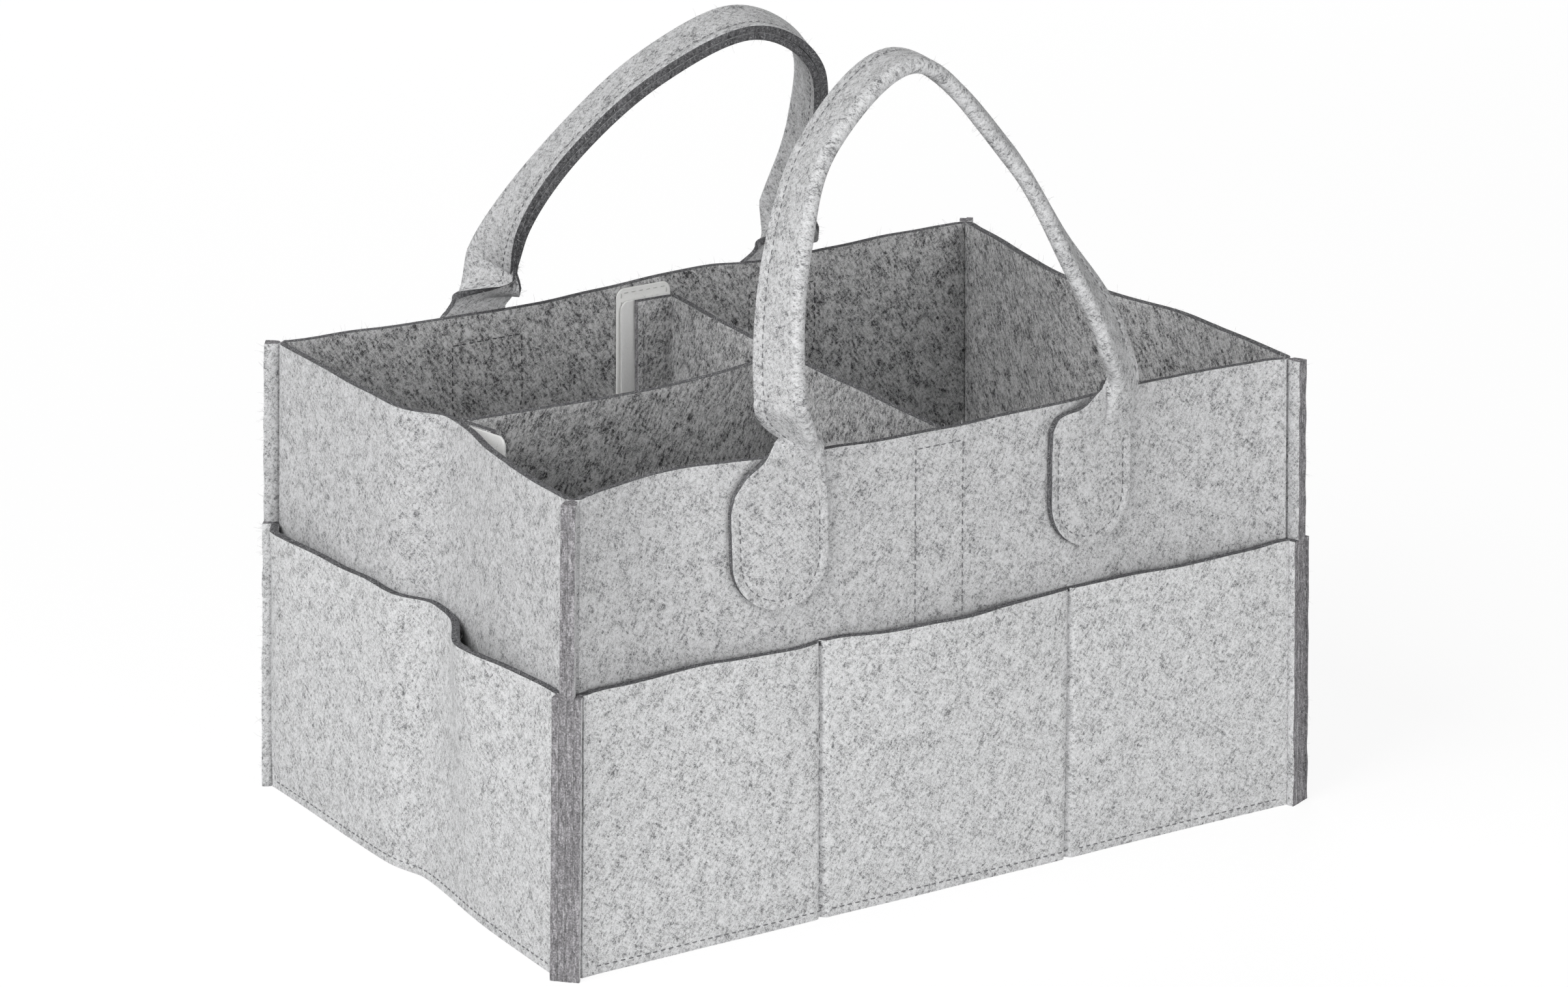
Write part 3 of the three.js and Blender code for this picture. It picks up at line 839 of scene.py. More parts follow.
def ramp(tree, source, stops):
    """A colour ramp from (position, colour) stops."""
    node = add_node(tree, "ShaderNodeValToRGB", {})
    elements = node.color_ramp.elements
    while len(elements) < len(stops):
        elements.new(0.5)
    for element, (position, colour) in zip(elements, stops):
        element.position = position
        element.color = colour
    feed(tree, node, {"Fac": source})
    return node.outputs["Color"]


def toned(colour, share):
    """A colour made darker or paler by a share."""
    return (*(min(1.0, share * c) for c in colour[:3]), 1.0)


def set_bump(tree, shader, heights):
    """Chains bumps from (height output, strength, distance in millimetres)."""
    normal = {}
    for height, strength, distance in heights:
        bump = add_node(tree, "ShaderNodeBump", {
            "Strength": strength, "Distance": distance * MM, "Height": height, **normal})
        normal = {"Normal": bump.outputs["Normal"]}
    feed(tree, shader, normal)


def weighted_sum(tree, parts):
    """Adds (output, weight) pairs, each taken about its middle of one half, to one half."""
    total = None
    for output, weight in parts:
        middle = 0.0 if total else 0.5
        part = calculate(tree, "MULTIPLY_ADD", output, weight, middle - 0.5 * weight)
        total = calculate(tree, "ADD", total, part) if total else part
    return total


def felt_material(name, finish, pale_share, grain, weights, sheen):
    """Heathered needle felt: grey fibres in a pale mat, as flecks, slanting streaks, clumps and specks."""
    material, tree, shader = new_material(name)
    light = colour_of(f"{finish}_light")
    dark = colour_of(f"{finish}_dark")
    cloth = coordinates(tree, "UV")
    layers = [
        cloth_noise(
            tree, cloth, scale / grain, detail=3, roughness=roughness, stretch=(1, stretch, 1), turn=turn,
            distortion=distortion)
        for scale, roughness, stretch, turn, distortion in FELT_LAYERS]
    specks = cloth_noise(tree, cloth, FELT_SPECKS, detail=1, roughness=0.5)
    tone = weighted_sum(tree, zip((*layers, specks), weights))
    middle = tuple(mix(a, b, pale_share) for a, b in zip(dark, light))
    feed(tree, shader, {
        "Base Color": ramp(tree, tone, [(0.22, dark), (0.48, middle), (0.72, light)]),
        "Roughness": 0.96, "Specular IOR Level": 0.12, "Sheen Weight": sheen, "Sheen Roughness": 0.45})
    set_bump(tree, shader, [(tone, 0.5, 0.5), (specks, 0.35, 0.22)])
    return material


def cut_edge_material(name, finish):
    """The cut edge of felt: packed fibre ends with a few pale ones."""
    material, tree, shader = new_material(name)
    colour = colour_of(finish)
    place = coordinates(tree, "Object")
    ends = cloth_noise(tree, place, scale=1500, detail=3, roughness=0.7)
    layers = cloth_noise(
        tree, place, scale=900, detail=3, roughness=0.65, stretch=(1, 1, 4), distortion=0.5)
    tone = weighted_sum(tree, [(ends, 1.1), (layers, 0.9)])
    stops = [(0.25, toned(colour, 0.42)), (0.5, colour), (0.8, toned(colour, 2.3))]
    feed(tree, shader, {
        "Base Color": ramp(tree, tone, stops), "Roughness": 1.0, "Specular IOR Level": 0.05})
    set_bump(tree, shader, [(ends, 0.6, 0.4)])
    return material


def thread_material(name, finish):
    """Spun thread with a slight twist."""
    material, tree, shader = new_material(name)
    colour = colour_of(finish)
    twist = cloth_noise(tree, coordinates(tree, "Object"), scale=2600, detail=2, roughness=0.6)
    feed(tree, shader, {
        "Base Color": ramp(tree, twist, [(0.3, colour), (0.75, toned(colour, 1.7))]), "Roughness": 0.7})
    set_bump(tree, shader, [(twist, 0.4, 0.15)])
    return material


def fibre_material(name, finish):
    """Loose felt fibres, pale and grey."""
    material, tree, shader = new_material(name)
    mixed = cloth_noise(tree, coordinates(tree, "Object"), scale=500, detail=1, roughness=0.5)
    stops = [(0.35, colour_of("wall_dark")), (0.65, colour_of("felt_light"))]
    feed(tree, shader, {"Base Color": ramp(tree, mixed, stops), "Roughness": 0.9})
    return material


def tape_material(name, finish, pile, bump):
    """White woven tape with a pile of small loops or hooks."""
    material, tree, shader = new_material(name)
    colour = colour_of(finish)
    cloth = coordinates(tree, "UV")
    loops = cloth_noise(tree, cloth, pile, detail=3, roughness=0.6, distortion=1.2)
    weave = add_node(
        tree, "ShaderNodeTexWave", {"Scale": 300, "Distortion": 1.5, "Vector": cloth},
        wave_type="BANDS", bands_direction="DIAGONAL")
    feed(tree, shader, {
        "Base Color": ramp(tree, loops, [(0.3, toned(colour, 0.95)), (0.6, colour)]),
        "Roughness": 0.8, "Sheen Weight": 0.15})
    set_bump(tree, shader, [(weave.outputs["Color"], 0.15, 0.15), (loops, bump, 0.3)])
    return material


# How each finish is made: the maker, the material's name and the rest that the maker needs
FINISHES = {
    "wall": (felt_material, "Wall and handle felt", 0.7, 1, (0.95, 0.6, 0.6, 0.5, 0.6), 0.1),
    "felt": (felt_material, "Pocket felt", 0.7, 1, (0.95, 0.6, 0.6, 0.45, 0.6), 0.1),
    # The inside felt's lower pale share and darker grey fibres are painted shade on the wall felt
    "inside": (felt_material, "Inside felt", 0.56, 1.1, (1.05, 1.05, 0.5, 0.65, 0.65), 0.05),
    "top_edge": (cut_edge_material, "Top cut edge"),
    "seam_edge": (cut_edge_material, "Seam cut edge"),
    "thread": (thread_material, "Sewing thread"),
    "inside_thread": (thread_material, "Sewing thread inside"),
    "tape_thread": (thread_material, "Sewing thread of the tapes"),
    "fibre": (fibre_material, "Loose fibres"),
    "loop_tape": (tape_material, "Loop tape", 1500, 0.5),
    "hook_tape": (tape_material, "Hook tape", 1100, 0.7),
}
MATERIALS = {}


def material_for(finish):
    """Makes each of the caddy's materials once."""
    if finish not in MATERIALS:
        maker, name, *settings = FINISHES[finish]
        MATERIALS[finish] = maker(name, finish, *settings)
    return MATERIALS[finish]


# Stitching


def stitch_shape(length):
    """Points and faces of one stitch along X: a low arch of thread whose ends go into the felt."""
    ends = [(-0.5, -0.5, 0.7), (-0.28, 0.1, 1), (0, 0.2, 1.05), (0.28, 0.1, 1), (0.5, -0.5, 0.7)]
    points = []
    for along, lift, girth in ends:
        for k in range(STITCH_SIDES):
            angle = 2 * math.pi * k / STITCH_SIDES
            points.append(Vector((
                along * length, STITCH_RADIUS * girth * math.cos(angle),
                lift + STITCH_RADIUS * girth * math.sin(angle))))
    faces = []
    for ring in range(len(ends) - 1):
        low = ring * STITCH_SIDES
        for k in range(STITCH_SIDES):
            after = (k + 1) % STITCH_SIDES
            faces.append((low + k, low + STITCH_SIDES + k, low + STITCH_SIDES + after, low + after))
    last = (len(ends) - 1) * STITCH_SIDES
    faces.append(tuple(range(STITCH_SIDES)))
    faces.append(tuple(last + k for k in reversed(range(STITCH_SIDES))))
    return points, faces


def stitch_seats(run, pitch):
    """Evenly spaced (place, direction, normal) along a run of (point, normal)."""
    points, normals = zip(*run)
    lengths = run_lengths(points)
    count = max(1, round(lengths[-1] / pitch))
    seats = []
    i = 0
    for k in range(count):
        i, share = find_along(lengths, (k + 0.5) * lengths[-1] / count, i)
        place = points[i].lerp(points[i + 1], share)
        normal = normals[i].lerp(normals[i + 1], share).normalized()
        seats.append((place, (points[i + 1] - points[i]).normalized(), normal))
    return seats


def mesh_piece(name, points, faces, finish):
    """A smooth piece from points in millimetres and faces."""
    mesh = bpy.data.meshes.new(name)
    mesh.from_pydata([point * MM for point in points], [], faces)
    mesh.update()
    piece = bpy.data.objects.new(name, mesh)
    bpy.context.scene.collection.objects.link(piece)
    mesh.materials.append(material_for(finish))
    mesh.polygons.foreach_set("use_smooth", [True] * len(mesh.polygons))
    return piece


def sew(name, runs, pitch=STITCH_PITCH, finish="thread"):
    """One mesh of thread stitches along runs of (point, normal)."""
    shape, shape_faces = stitch_shape(pitch * STITCH_SHARE)
    points = []
    faces = []
    for run in runs:
        for place, direction, normal in stitch_seats(run, pitch):
            side = normal.cross(direction).normalized()
            normal = direction.cross(side).normalized()
            turn = Matrix((direction, side, normal)).transposed()
            first = len(points)
            points.extend(place + turn @ p for p in shape)
            faces.extend(tuple(first + i for i in face) for face in shape_faces)
    return mesh_piece(name, points, faces, finish)


def loose_fibres(name, roots, chance):
    """One mesh of thin fibres that stand out of the felt, from (root, way) pairs."""
    points = []
    faces = []
    for root, way in roots:
        stray = Vector((chance.gauss(0, 1), chance.gauss(0, 1), chance.gauss(0, 1)))
        way = (way.normalized() + stray * FIBRE_STRAY).normalized()
        side = way.orthogonal().normalized()
        other = way.cross(side)
        curl = (side * chance.uniform(-1, 1) + other * chance.uniform(-1, 1)) * FIBRE_CURL
        length = mix(FIBRE_SHORTEST, FIBRE_LONGEST, chance.random() ** FIBRE_SHORTNESS)
        first = len(points)
        for k in range(FIBRE_STEPS + 1):
            t = k / FIBRE_STEPS
            middle = root + way * (length * t) + curl * (length * t * t)
            for j in range(FIBRE_SIDES):
                angle = 2 * math.pi * j / FIBRE_SIDES
                girth = FIBRE_RADIUS * (1 - FIBRE_TAPER * t)
                points.append(middle + (side * math.cos(angle) + other * math.sin(angle)) * girth)
        for k in range(FIBRE_STEPS):
            low = first + FIBRE_SIDES * k
            high = low + FIBRE_SIDES
            for j in range(FIBRE_SIDES):
                after = (j + 1) % FIBRE_SIDES
                faces.append((low + j, low + after, high + after, high + j))
    return mesh_piece(name, points, faces, "fibre")


def scatter(chance, low, high, spacing):
    """Random values between two, about one for each spacing."""
    return [chance.uniform(low, high) for _ in range(round(abs(high - low) / spacing))]


def straight_run(function, start, end, step=1.5):
    """A run of (point, normal) from function(value) between two values."""
    count = max(2, math.ceil(abs(end - start) / step))
    return [function(mix(start, end, i / count)) for i in range(count + 1)]


def attach(piece, body):
    """Gives thread or fibres their body."""
    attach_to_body(piece, body)


# Operators, one for each piece or group of like pieces


class CaddyOperator:
    """What the caddy's operators share."""

    bl_options = {"REGISTER", "UNDO"}

    def execute(self, context):
        self.make()
        return {"FINISHED"}


class CADDY_OT_walls(CaddyOperator, bpy.types.Operator):
    """Makes the four felt walls with their corner seams"""

    bl_idname = "caddy.walls"
    bl_label = "Walls"

    def make(self):
        for name, wall in four_walls().items():
            piece, flat = sewn_layer(f"{name}_wall_felt", WallLayer(wall))
            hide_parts(f"{name}_panel")
            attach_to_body(piece, "caddy")


class CADDY_OT_pockets(CaddyOperator, bpy.types.Operator):
    """Makes the pocket panels round the outside"""

    bl_idname = "caddy.pockets"
    bl_label = "Pockets"

    def make(self):
        for name, wall in four_walls().items():
            piece, flat = sewn_layer(f"{name}_pocket_felt", PocketLayer(wall))
            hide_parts(f"{name}_pocket_panel")
            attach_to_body(piece, "caddy")


class CADDY_OT_fibres(CaddyOperator, bpy.types.Operator):
    """Makes the loose fibres on the cut edges of the walls and the pockets"""

    bl_idname = "caddy.fibres"
    bl_label = "Loose fibres"

    def make(self):
        for name, wall in four_walls().items():
            chance = random.Random(name)
            layers = (WallLayer(wall), PocketLayer(wall))
            roots = []
            for layer in layers:
                roots += self.top_roots(layer, chance)
            for end in (-1, 1):
                for layer in layers:
                    roots += self.tip_roots(layer, chance, end)
            attach(loose_fibres(f"{name}_fibres", roots, chance), "caddy")

    def top_roots(self, layer, chance):
        """Roots over the thickness of a layer's top edge."""
        wall = layer.wall
        reach = wall.along(wall.height) - EDGE_FIBRE_MARGIN
        roots = []
        for u in scatter(chance, -reach, reach, EDGE_FIBRE_SPACING):
            z = layer.top(u)
            depth = layer.depth(u, z)
            inner = wall.point(u, z - ROOT_DEPTH, depth)
            outer = wall.point(u, z - ROOT_DEPTH, depth + wall.felt)
            share = chance.random()
            roots.append((inner.lerp(outer, share), Vector((0, 0, 1)) + (outer - inner) * (share - 0.5)))
        return roots

    def tip_roots(self, layer, chance, end):
        """Roots along the tip of a layer at a corner seam."""
        roots = []
        low, high = TIP_FIBRE_MARGINS
        for z in scatter(chance, low, layer.height - high, TIP_FIBRE_SPACING):
            fold, tip = layer.wall.corner(end, z, layer.end_depth, layer.seam_offset)
            roots.append((tip, tip - fold))
        return roots


class CADDY_OT_base(CaddyOperator, bpy.types.Operator):
    """Makes the felt floor with its turned-down edge"""

    bl_idname = "caddy.base"
    bl_label = "Base"

    def make(self):
        walls = four_walls()
        felt = size_of("felt")
        depth = BASE_TUCK - felt - felt / 2
        middle_z = BASE_RIM - felt / 2
        outline = self.outline(walls, depth)
        rings = [(z, 1) for z in BASE_EDGE]
        rings.append((middle_z - BASE_BEND_DROP, BASE_BEND_SHARE))
        rings += [(middle_z, share) for share in BASE_SHARES]
        columns = len(outline) + 1
        piece = start_grid("base_felt", columns, len(rings))
        layer = piece.data.uv_layers.active
        for index, vertex in enumerate(piece.data.vertices):
            row, column = divmod(index, columns)
            z, share = rings[row]
            x, y = outline[column % len(outline)]
            vertex.co = Vector((x * share, y * share, z)) * MM
        for loop in piece.data.loops:
            place = piece.data.vertices[loop.vertex_index].co
            layer.data[loop.index].uv = (place.x, place.y)
        bpy.ops.object.mode_set(mode="EDIT")
        bpy.ops.mesh.select_all(action="SELECT")
        bpy.ops.mesh.remove_doubles(threshold=WELD_DISTANCE)
        bpy.ops.mesh.select_all(action="DESELECT")
        bpy.ops.object.mode_set(mode="OBJECT")
        small = BASE_MIDDLE * size_of("length") / 2 * MM
        for vertex in piece.data.vertices:
            vertex.select = vertex.co.xy.length < small
        bpy.ops.object.mode_set(mode="EDIT")
        bpy.ops.mesh.select_mode(type="VERT")
        bpy.ops.mesh.edge_face_add()
        bpy.ops.object.mode_set(mode="OBJECT")
        thicken(piece, felt, 0, INSIDE_FINISHES)
        flat = (size_of("length") * MM, size_of("width") * MM)
        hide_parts("base_panel")
        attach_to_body(piece, "caddy")

    def outline(self, walls, depth):
        """Points round the foot, at the middle of the base's turned-down edge."""
        points = []
        for name, forwards in (("front", True), ("right", True), ("back", False), ("left", False)):
            wall = walls[name]
            reach = wall.along(BASE_RIM) + depth - BASE_CORNER
            places = places_along(-reach, reach, BASE_STEP)
            for u in places if forwards else reversed(places):
                points.append(wall.point(u, BASE_RIM, depth).xy)
        return points


# A place along a handle's strip: its fold line, the way to its sewn edge, how far it is folded, how far its
# folded and its outer layer reach across, and which way along X the outer layer lies
Station = namedtuple("Station", "point way fold reach outer_way")


class HandleStrip:
    """A handle: one strip of felt with two flat tabs, folded lengthwise and twisted between them."""

    def __init__(self, wall, shift, seat, lean, loop, turns, necks):
        self.name = wall.name
        self.wall = wall
        self.side = wall.side
        self.turns = turns
        self.tabs = (shift - TAB_SPREAD / 2, shift + TAB_SPREAD / 2)
        self.necks = necks
        angle = math.radians(lean)
        self.up = Vector((0, -self.side * math.sin(angle), math.cos(angle)))
        self.out = Vector((0, self.side * math.cos(angle), math.sin(angle)))
        hinge_y = wall.half_width(wall.height) + wall.felt + 2 * LAYER_GAP + HINGE_FELT - seat
        self.hinge = Vector((shift, self.side * hinge_y, wall.height))
        self.line = self.smooth_line(
            [self.hinge + self.up * high + Vector((along, 0, 0)) for along, high in loop], LOOP_LINE_STEPS)
        self.stations = self.lay_stations()

    @staticmethod
    def smooth_line(points, steps):
        """Points of a smooth curve through the given ones, with that many steps between each two."""
        ends = [points[0] * 2 - points[1], *points, points[-1] * 2 - points[-2]]
        fine = []
        for p0, p1, p2, p3 in zip(ends, ends[1:], ends[2:], ends[3:]):
            d0, d1, d2 = (math.sqrt((b - a).length) for a, b in ((p0, p1), (p1, p2), (p2, p3)))
            t1 = ((p1 - p0) / d0 - (p2 - p0) / (d0 + d1) + (p2 - p1) / d1) * d1
            t2 = ((p2 - p1) / d1 - (p3 - p1) / (d1 + d2) + (p3 - p2) / d2) * d1
            fine += [curve(p1, p2, t1, t2, k / steps) for k in range(steps)]
        fine.append(points[-1])
        return fine

    def strap_at(self, share):
        """The strap's fold line at a share of its length, and the way to its sewn edge."""
        lengths = run_lengths(self.line)
        i, part = find_along(lengths, share * lengths[-1])
        centre = self.line[i].lerp(self.line[i + 1], part)
        tangent = (self.line[i + 1] - self.line[i]).normalized()
        turn = math.radians(smooth_value(self.turns, share))
        inwards = -self.out
        width = (inwards * math.cos(turn) + tangent.cross(inwards) * math.sin(turn)).normalized()
        return centre - width * STRAP_FOLD_TO_MIDDLE, width

    def tab_half(self, z):
        """Half the tab's width at a height: round at its lower end."""
        half = size_of("tab_width") / 2
        above = z - TAB_BOTTOM
        if above >= half:
            return half
        return math.sqrt(max(0.0, half ** 2 - (half - above) ** 2))

    def lay_stations(self):
        """Stations from the first tab's round end, along the strap, to the second tab's."""
        legs = []
        for end, (tab, neck) in enumerate(zip(self.tabs, self.necks)):
            share = NECK_SHARE if end == 0 else 1 - NECK_SHARE
            outer_way = self.side if end == 0 else -self.side
            legs.append(self.leg_stations(tab, neck, share, outer_way))
        strap = []
        for k in range(STRAP_COUNT + 1):
            fold_line, width = self.strap_at(mix(NECK_SHARE, 1 - NECK_SHARE, k / STRAP_COUNT))
            strap.append(Station(fold_line, width, 1.0, (STRAP_HALF_CUT, STRAP_HALF_CUT), 0))
        return legs[0] + strap + legs[1][::-1]

    def leg_stations(self, tab, neck, share, outer_way):
        """From a tab's round end up to where the strap is folded double."""
        low, high = neck["line"]
        depth = LAYER_GAP + STRAP_FELT / 2
        heights = [TAB_BOTTOM + rise for rise in TAB_ROUND_RISES]
        while heights[-1] < NECK_FOOT:
            heights.append(heights[-1] + (TAB_STEP if heights[-1] < TAB_STRAIGHT else NECK_STEP))
        inwards = Vector((0, -self.side, 0))

        def neck_reach(z):
            return table_value(neck["folded"], z), table_value(neck["outer"], z)

        stations = []
        for z in heights:
            x = mix(tab, low, ease(*FOLD_SHIFTS, z))
            half = self.tab_half(z)
            reach = (half + outer_way * (x - tab), half - outer_way * (x - tab))
            if z > TAB_STRAIGHT:
                reach = neck_reach(z)
            stations.append(Station(self.wall.point(x, z, depth), inwards, 0.0, reach, outer_way))
        end, width = self.strap_at(share)
        further = share * GUIDE_BEYOND if share < 0.5 else 1 - (1 - share) * GUIDE_BEYOND
        over = self.wall.point(high, self.wall.height + OVER_RISE, depth)
        over.y = mix(over.y, end.y, OVER_SHARE)
        guides = [stations[-GUIDE_BACK].point, stations[-1].point, over, end, self.strap_at(further)[0]]
        for point in self.smooth_line(guides, NECK_LINE_STEPS):
            if heights[-1] + NECK_CLEAR[0] < point.z < end.z - NECK_CLEAR[1]:
                fold = ease(*neck["folds"], point.z)
                way = inwards.slerp(width, fold)
                stations.append(Station(point, way, fold, neck_reach(point.z), outer_way))
        return stations

    def section(self, station, tangent, w):
        """The point of the folded strip that lies w from its fold line across the flat cut."""
        way = (station.way - tangent * station.way.dot(tangent)).normalized()
        beside = tangent.cross(way)
        bend = station.fold * math.pi / 2
        size = abs(w)
        turn = min(size / STRAP_FOLD_RADIUS, bend)
        rest = max(0.0, size - STRAP_FOLD_RADIUS * bend)
        p = STRAP_FOLD_RADIUS * math.sin(turn) + rest * math.cos(bend)
        q = STRAP_FOLD_RADIUS * (1 - math.cos(turn)) + rest * math.sin(bend)
        return station.point + beside * math.copysign(p, w) + way * q

    def tangent_at(self, i):
        before = self.stations[max(0, i - 1)].point
        after = self.stations[min(len(self.stations) - 1, i + 1)].point
        return (after - before).normalized()

    def cut_places(self, reach):
        """Places from the fold line to an edge, close together at the fold and at the stitching."""
        scale = min(1.0, reach / (EDGE_INSETS[-1] + FOLD_PLACES[-1] + LEAST_BETWEEN))
        inner = [place * scale for place in FOLD_PLACES]
        outer = [reach - inset * scale for inset in reversed(EDGE_INSETS)]
        return inner + outer

    def place(self, i, w):
        """A point on the strip's middle surface, at station i and w across, positive in its outer layer."""
        station = self.stations[i]
        point = station.point
        free = self.section(station, self.tangent_at(i), w)
        if station.outer_way == 0:
            return free
        neck = self.leg_near(point.x)[1]
        along = point.x + station.outer_way * w
        depth = LAYER_GAP + STRAP_FELT / 2
        for middle, starts, ends, half, rise in neck["lifts"]:
            depth += rise * ease(starts, ends, point.z) * math.exp(-(((along - middle) / half) ** 4))
        return self.wall.point(along, point.z, depth).lerp(free, ease(*neck["leaves"], point.z))

    def leg_near(self, x):
        """The tab and the neck on one side of the handle's middle."""
        end = 0 if x < sum(self.tabs) / 2 else 1
        return self.tabs[end], self.necks[end]

    def face(self, i, w, lift):
        """A point on the outer face of the folded strap, and the way that the face looks."""
        step = 0.4
        here = self.place(i, w)
        after = self.place(i + 1, w) - here
        normal = after.cross(self.place(i, w + step) - here).normalized()
        return here + normal * lift, normal

    def press(self, i, w):
        """Share of its thickness that the felt keeps beside the stitching."""
        point, _, fold, (folded, outer), outer_way = self.stations[i]
        near = outer - w if w > 0 else folded + w
        inset = STRAP_STITCH_INSET
        if point.z < TAB_STRAIGHT and outer_way:
            inset = TAB_STITCH_INSET
            full = size_of("tab_width") / 2
            from_middle = point.x + outer_way * w - self.leg_near(point.x)[0]
            above = point.z - TAB_BOTTOM
            near = full - (math.hypot(from_middle, full - above) if above < full else abs(from_middle))
        elif fold < NEARLY_FOLDED:
            return 1.0
        return 1 - STITCH_PRESS * math.exp(-(((near - inset) / STITCH_PRESS_WIDTH) ** 2))

    def slant(self, i):
        """How far the fold line is from the middle of the cut, in a tab."""
        station = self.stations[i]
        neck = self.leg_near(station.point.x)[1]
        return station.outer_way * (station.point.x - neck["line"][0]) * (1 - station.fold)

    def make(self):
        """Makes the strip. Returns it and its flat size in metres."""
        rows = []
        for station in self.stations:
            folded, outer = (self.cut_places(reach) for reach in station.reach)
            rows.append([-w for w in reversed(folded)] + outer[1:])
        return shaped_sheet(
            f"{self.name}_handle_felt", len(rows[0]), len(rows),
            lambda column, row: self.place(row, rows[row][column]),
            STRAP_FELT, 0, HANDLE_FINISHES, lambda column, row: self.press(row, rows[row][column]),
            cut_at=lambda column, row: rows[row][column] + self.slant(row))


def handle_strips():
    """The front and the back handle, with where each is hinged and how far it leans, in degrees."""
    walls = four_walls()
    return (
        HandleStrip(
            walls["front"], shift=-4, seat=1.6, lean=9, loop=FRONT_LOOP, turns=FRONT_TURNS,
            necks=(FRONT_LEFT_NECK, FRONT_RIGHT_NECK)),
        HandleStrip(
            walls["back"], shift=0, seat=0, lean=28, loop=BACK_LOOP, turns=BACK_TURNS,
            necks=(BACK_LEFT_NECK, BACK_RIGHT_NECK)),
    )


class CADDY_OT_handles(CaddyOperator, bpy.types.Operator):
    """Makes the two folded felt handles with their sewn tabs and stitching"""

    bl_idname = "caddy.handles"
    bl_label = "Handles"

    def make(self):
        for strip in handle_strips():
            piece, flat = strip.make()
            name = strip.name
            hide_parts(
                f"{name}_handle_strap", f"{name}_handle_left_tab", f"{name}_handle_right_tab")
            thread = sew(f"{name}_handle_stitches", self.runs(strip))
            inside_runs = self.tab_runs(strip, -strip.wall.felt, inwards=True)
            inside = sew(f"{name}_tab_inside_stitches", inside_runs, finish="inside_thread")
            attach(inside, "caddy")
            hinge = strip.hinge * MM
            start, end = ((0, hinge.y, hinge.z + rise) for rise in HANDLE_BEND)
            fibres = loose_fibres(f"{name}_handle_fibres", *self.fibre_roots(strip))
            for part in (piece, thread, fibres):
                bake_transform(part)
                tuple(start)
                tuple(end)

    def fibre_roots(self, strip):
        """Roots along the strip's two cut edges and over its outer face, and the chance that made them."""
        chance = random.Random(strip.name)
        roots = []
        last = len(strip.stations) - 2
        for i in range(1, last):
            folded, outer = strip.stations[i].reach
            step = (strip.stations[i + 1].point - strip.stations[i].point).length
            for edge in (-folded, outer):
                for _ in range(max(1, round(step / EDGE_FIBRE_SPACING))):
                    rim = strip.place(i, edge)
                    roots.append((rim, rim - strip.place(i, edge - math.copysign(RIM_STEP, edge))))
        for _ in range(FACE_FIBRES):
            i = chance.randrange(1, last)
            folded, outer = strip.stations[i].reach
            roots.append(strip.face(i, chance.uniform(-folded, outer), STRAP_FELT / 2 - FACE_ROOT_DEPTH))
        return roots, chance

    def tab_path(self):
        """The sewn line round a tab: distance up from its lower end, and across."""
        half = size_of("tab_width") / 2
        side = half - TAB_STITCH_INSET
        steps = TAB_SIDE_STEPS
        path = [(mix(TAB_SEWN, half, k / steps), -side) for k in range(steps)]
        for k in range(TAB_ROUND_STEPS + 1):
            angle = math.pi * k / TAB_ROUND_STEPS
            path.append((half - side * math.sin(angle), -side * math.cos(angle)))
        path += [(mix(half, TAB_SEWN, k / steps), side) for k in range(1, steps + 1)]
        return path

    def tab_runs(self, strip, depth, inwards=False):
        """The sewn line round each tab and the line across its top, on a face at a depth of the wall."""
        path = self.tab_path()
        side = path[-1][1]
        steps = TAB_SIDE_STEPS
        across = [(TAB_SEWN, mix(-side, side, k / steps)) for k in range(steps + 1)]
        return [
            [strip.wall.face(tab + w, TAB_BOTTOM + above, lambda u, z: depth, inwards) for above, w in line]
            for tab in strip.tabs for line in (path, across)]

    def runs(self, strip):
        """The sewing round the tabs and along the strap's two edges."""
        lift = STRAP_FELT / 2 * STITCH_SINKS
        runs = self.tab_runs(strip, LAYER_GAP + STRAP_FELT / 2 + lift)
        folded = [i for i, station in enumerate(strip.stations) if station.fold > FULLY_FOLDED][:-1]
        for layer, way in ((0, -1), (1, 1)):
            edges = [way * (strip.stations[i].reach[layer] - STRAP_STITCH_INSET) for i in folded]
            runs.append([strip.face(i, w, lift) for i, w in zip(folded, edges)])
        return runs


def tape_half(z, top):
    """Half a tape's width at a height: its corners are rounded."""
    half = size_of("tape_width") / 2
    near = min(z - TAPE_BOTTOM, top - z)
    if near >= TAPE_CORNER:
        return half
    return half - TAPE_CORNER + math.sqrt(max(0.0, TAPE_CORNER ** 2 - (TAPE_CORNER - near) ** 2))


def tape_strip(name, top, point, finish):
    """An upright strip of tape. point(across, z) gives its middle surface."""
    shares = [-1, -0.9, -0.75, -0.5, -0.25, 0, 0.25, 0.5, 0.75, 0.9, 1]
    ends = [0.15, 0.6, 1.3, 2.2, 3.2, 4.5]
    heights = [TAPE_BOTTOM + e for e in ends]
    count = round((top - TAPE_BOTTOM - 2 * ends[-1]) / TAPE_STEP)
    heights += [mix(TAPE_BOTTOM + ends[-1], top - ends[-1], k / count) for k in range(1, count)]
    heights += [top - e for e in reversed(ends)]

    def place(column, row):
        z = heights[row]
        return point(shares[column] * tape_half(z, top), z)

    piece, flat = shaped_sheet(
        name, len(shares), len(heights), place, TAPE * TAPE_PRESSED, 0, [finish] * 4, rounding=TAPE_ROUND)
    return piece, flat


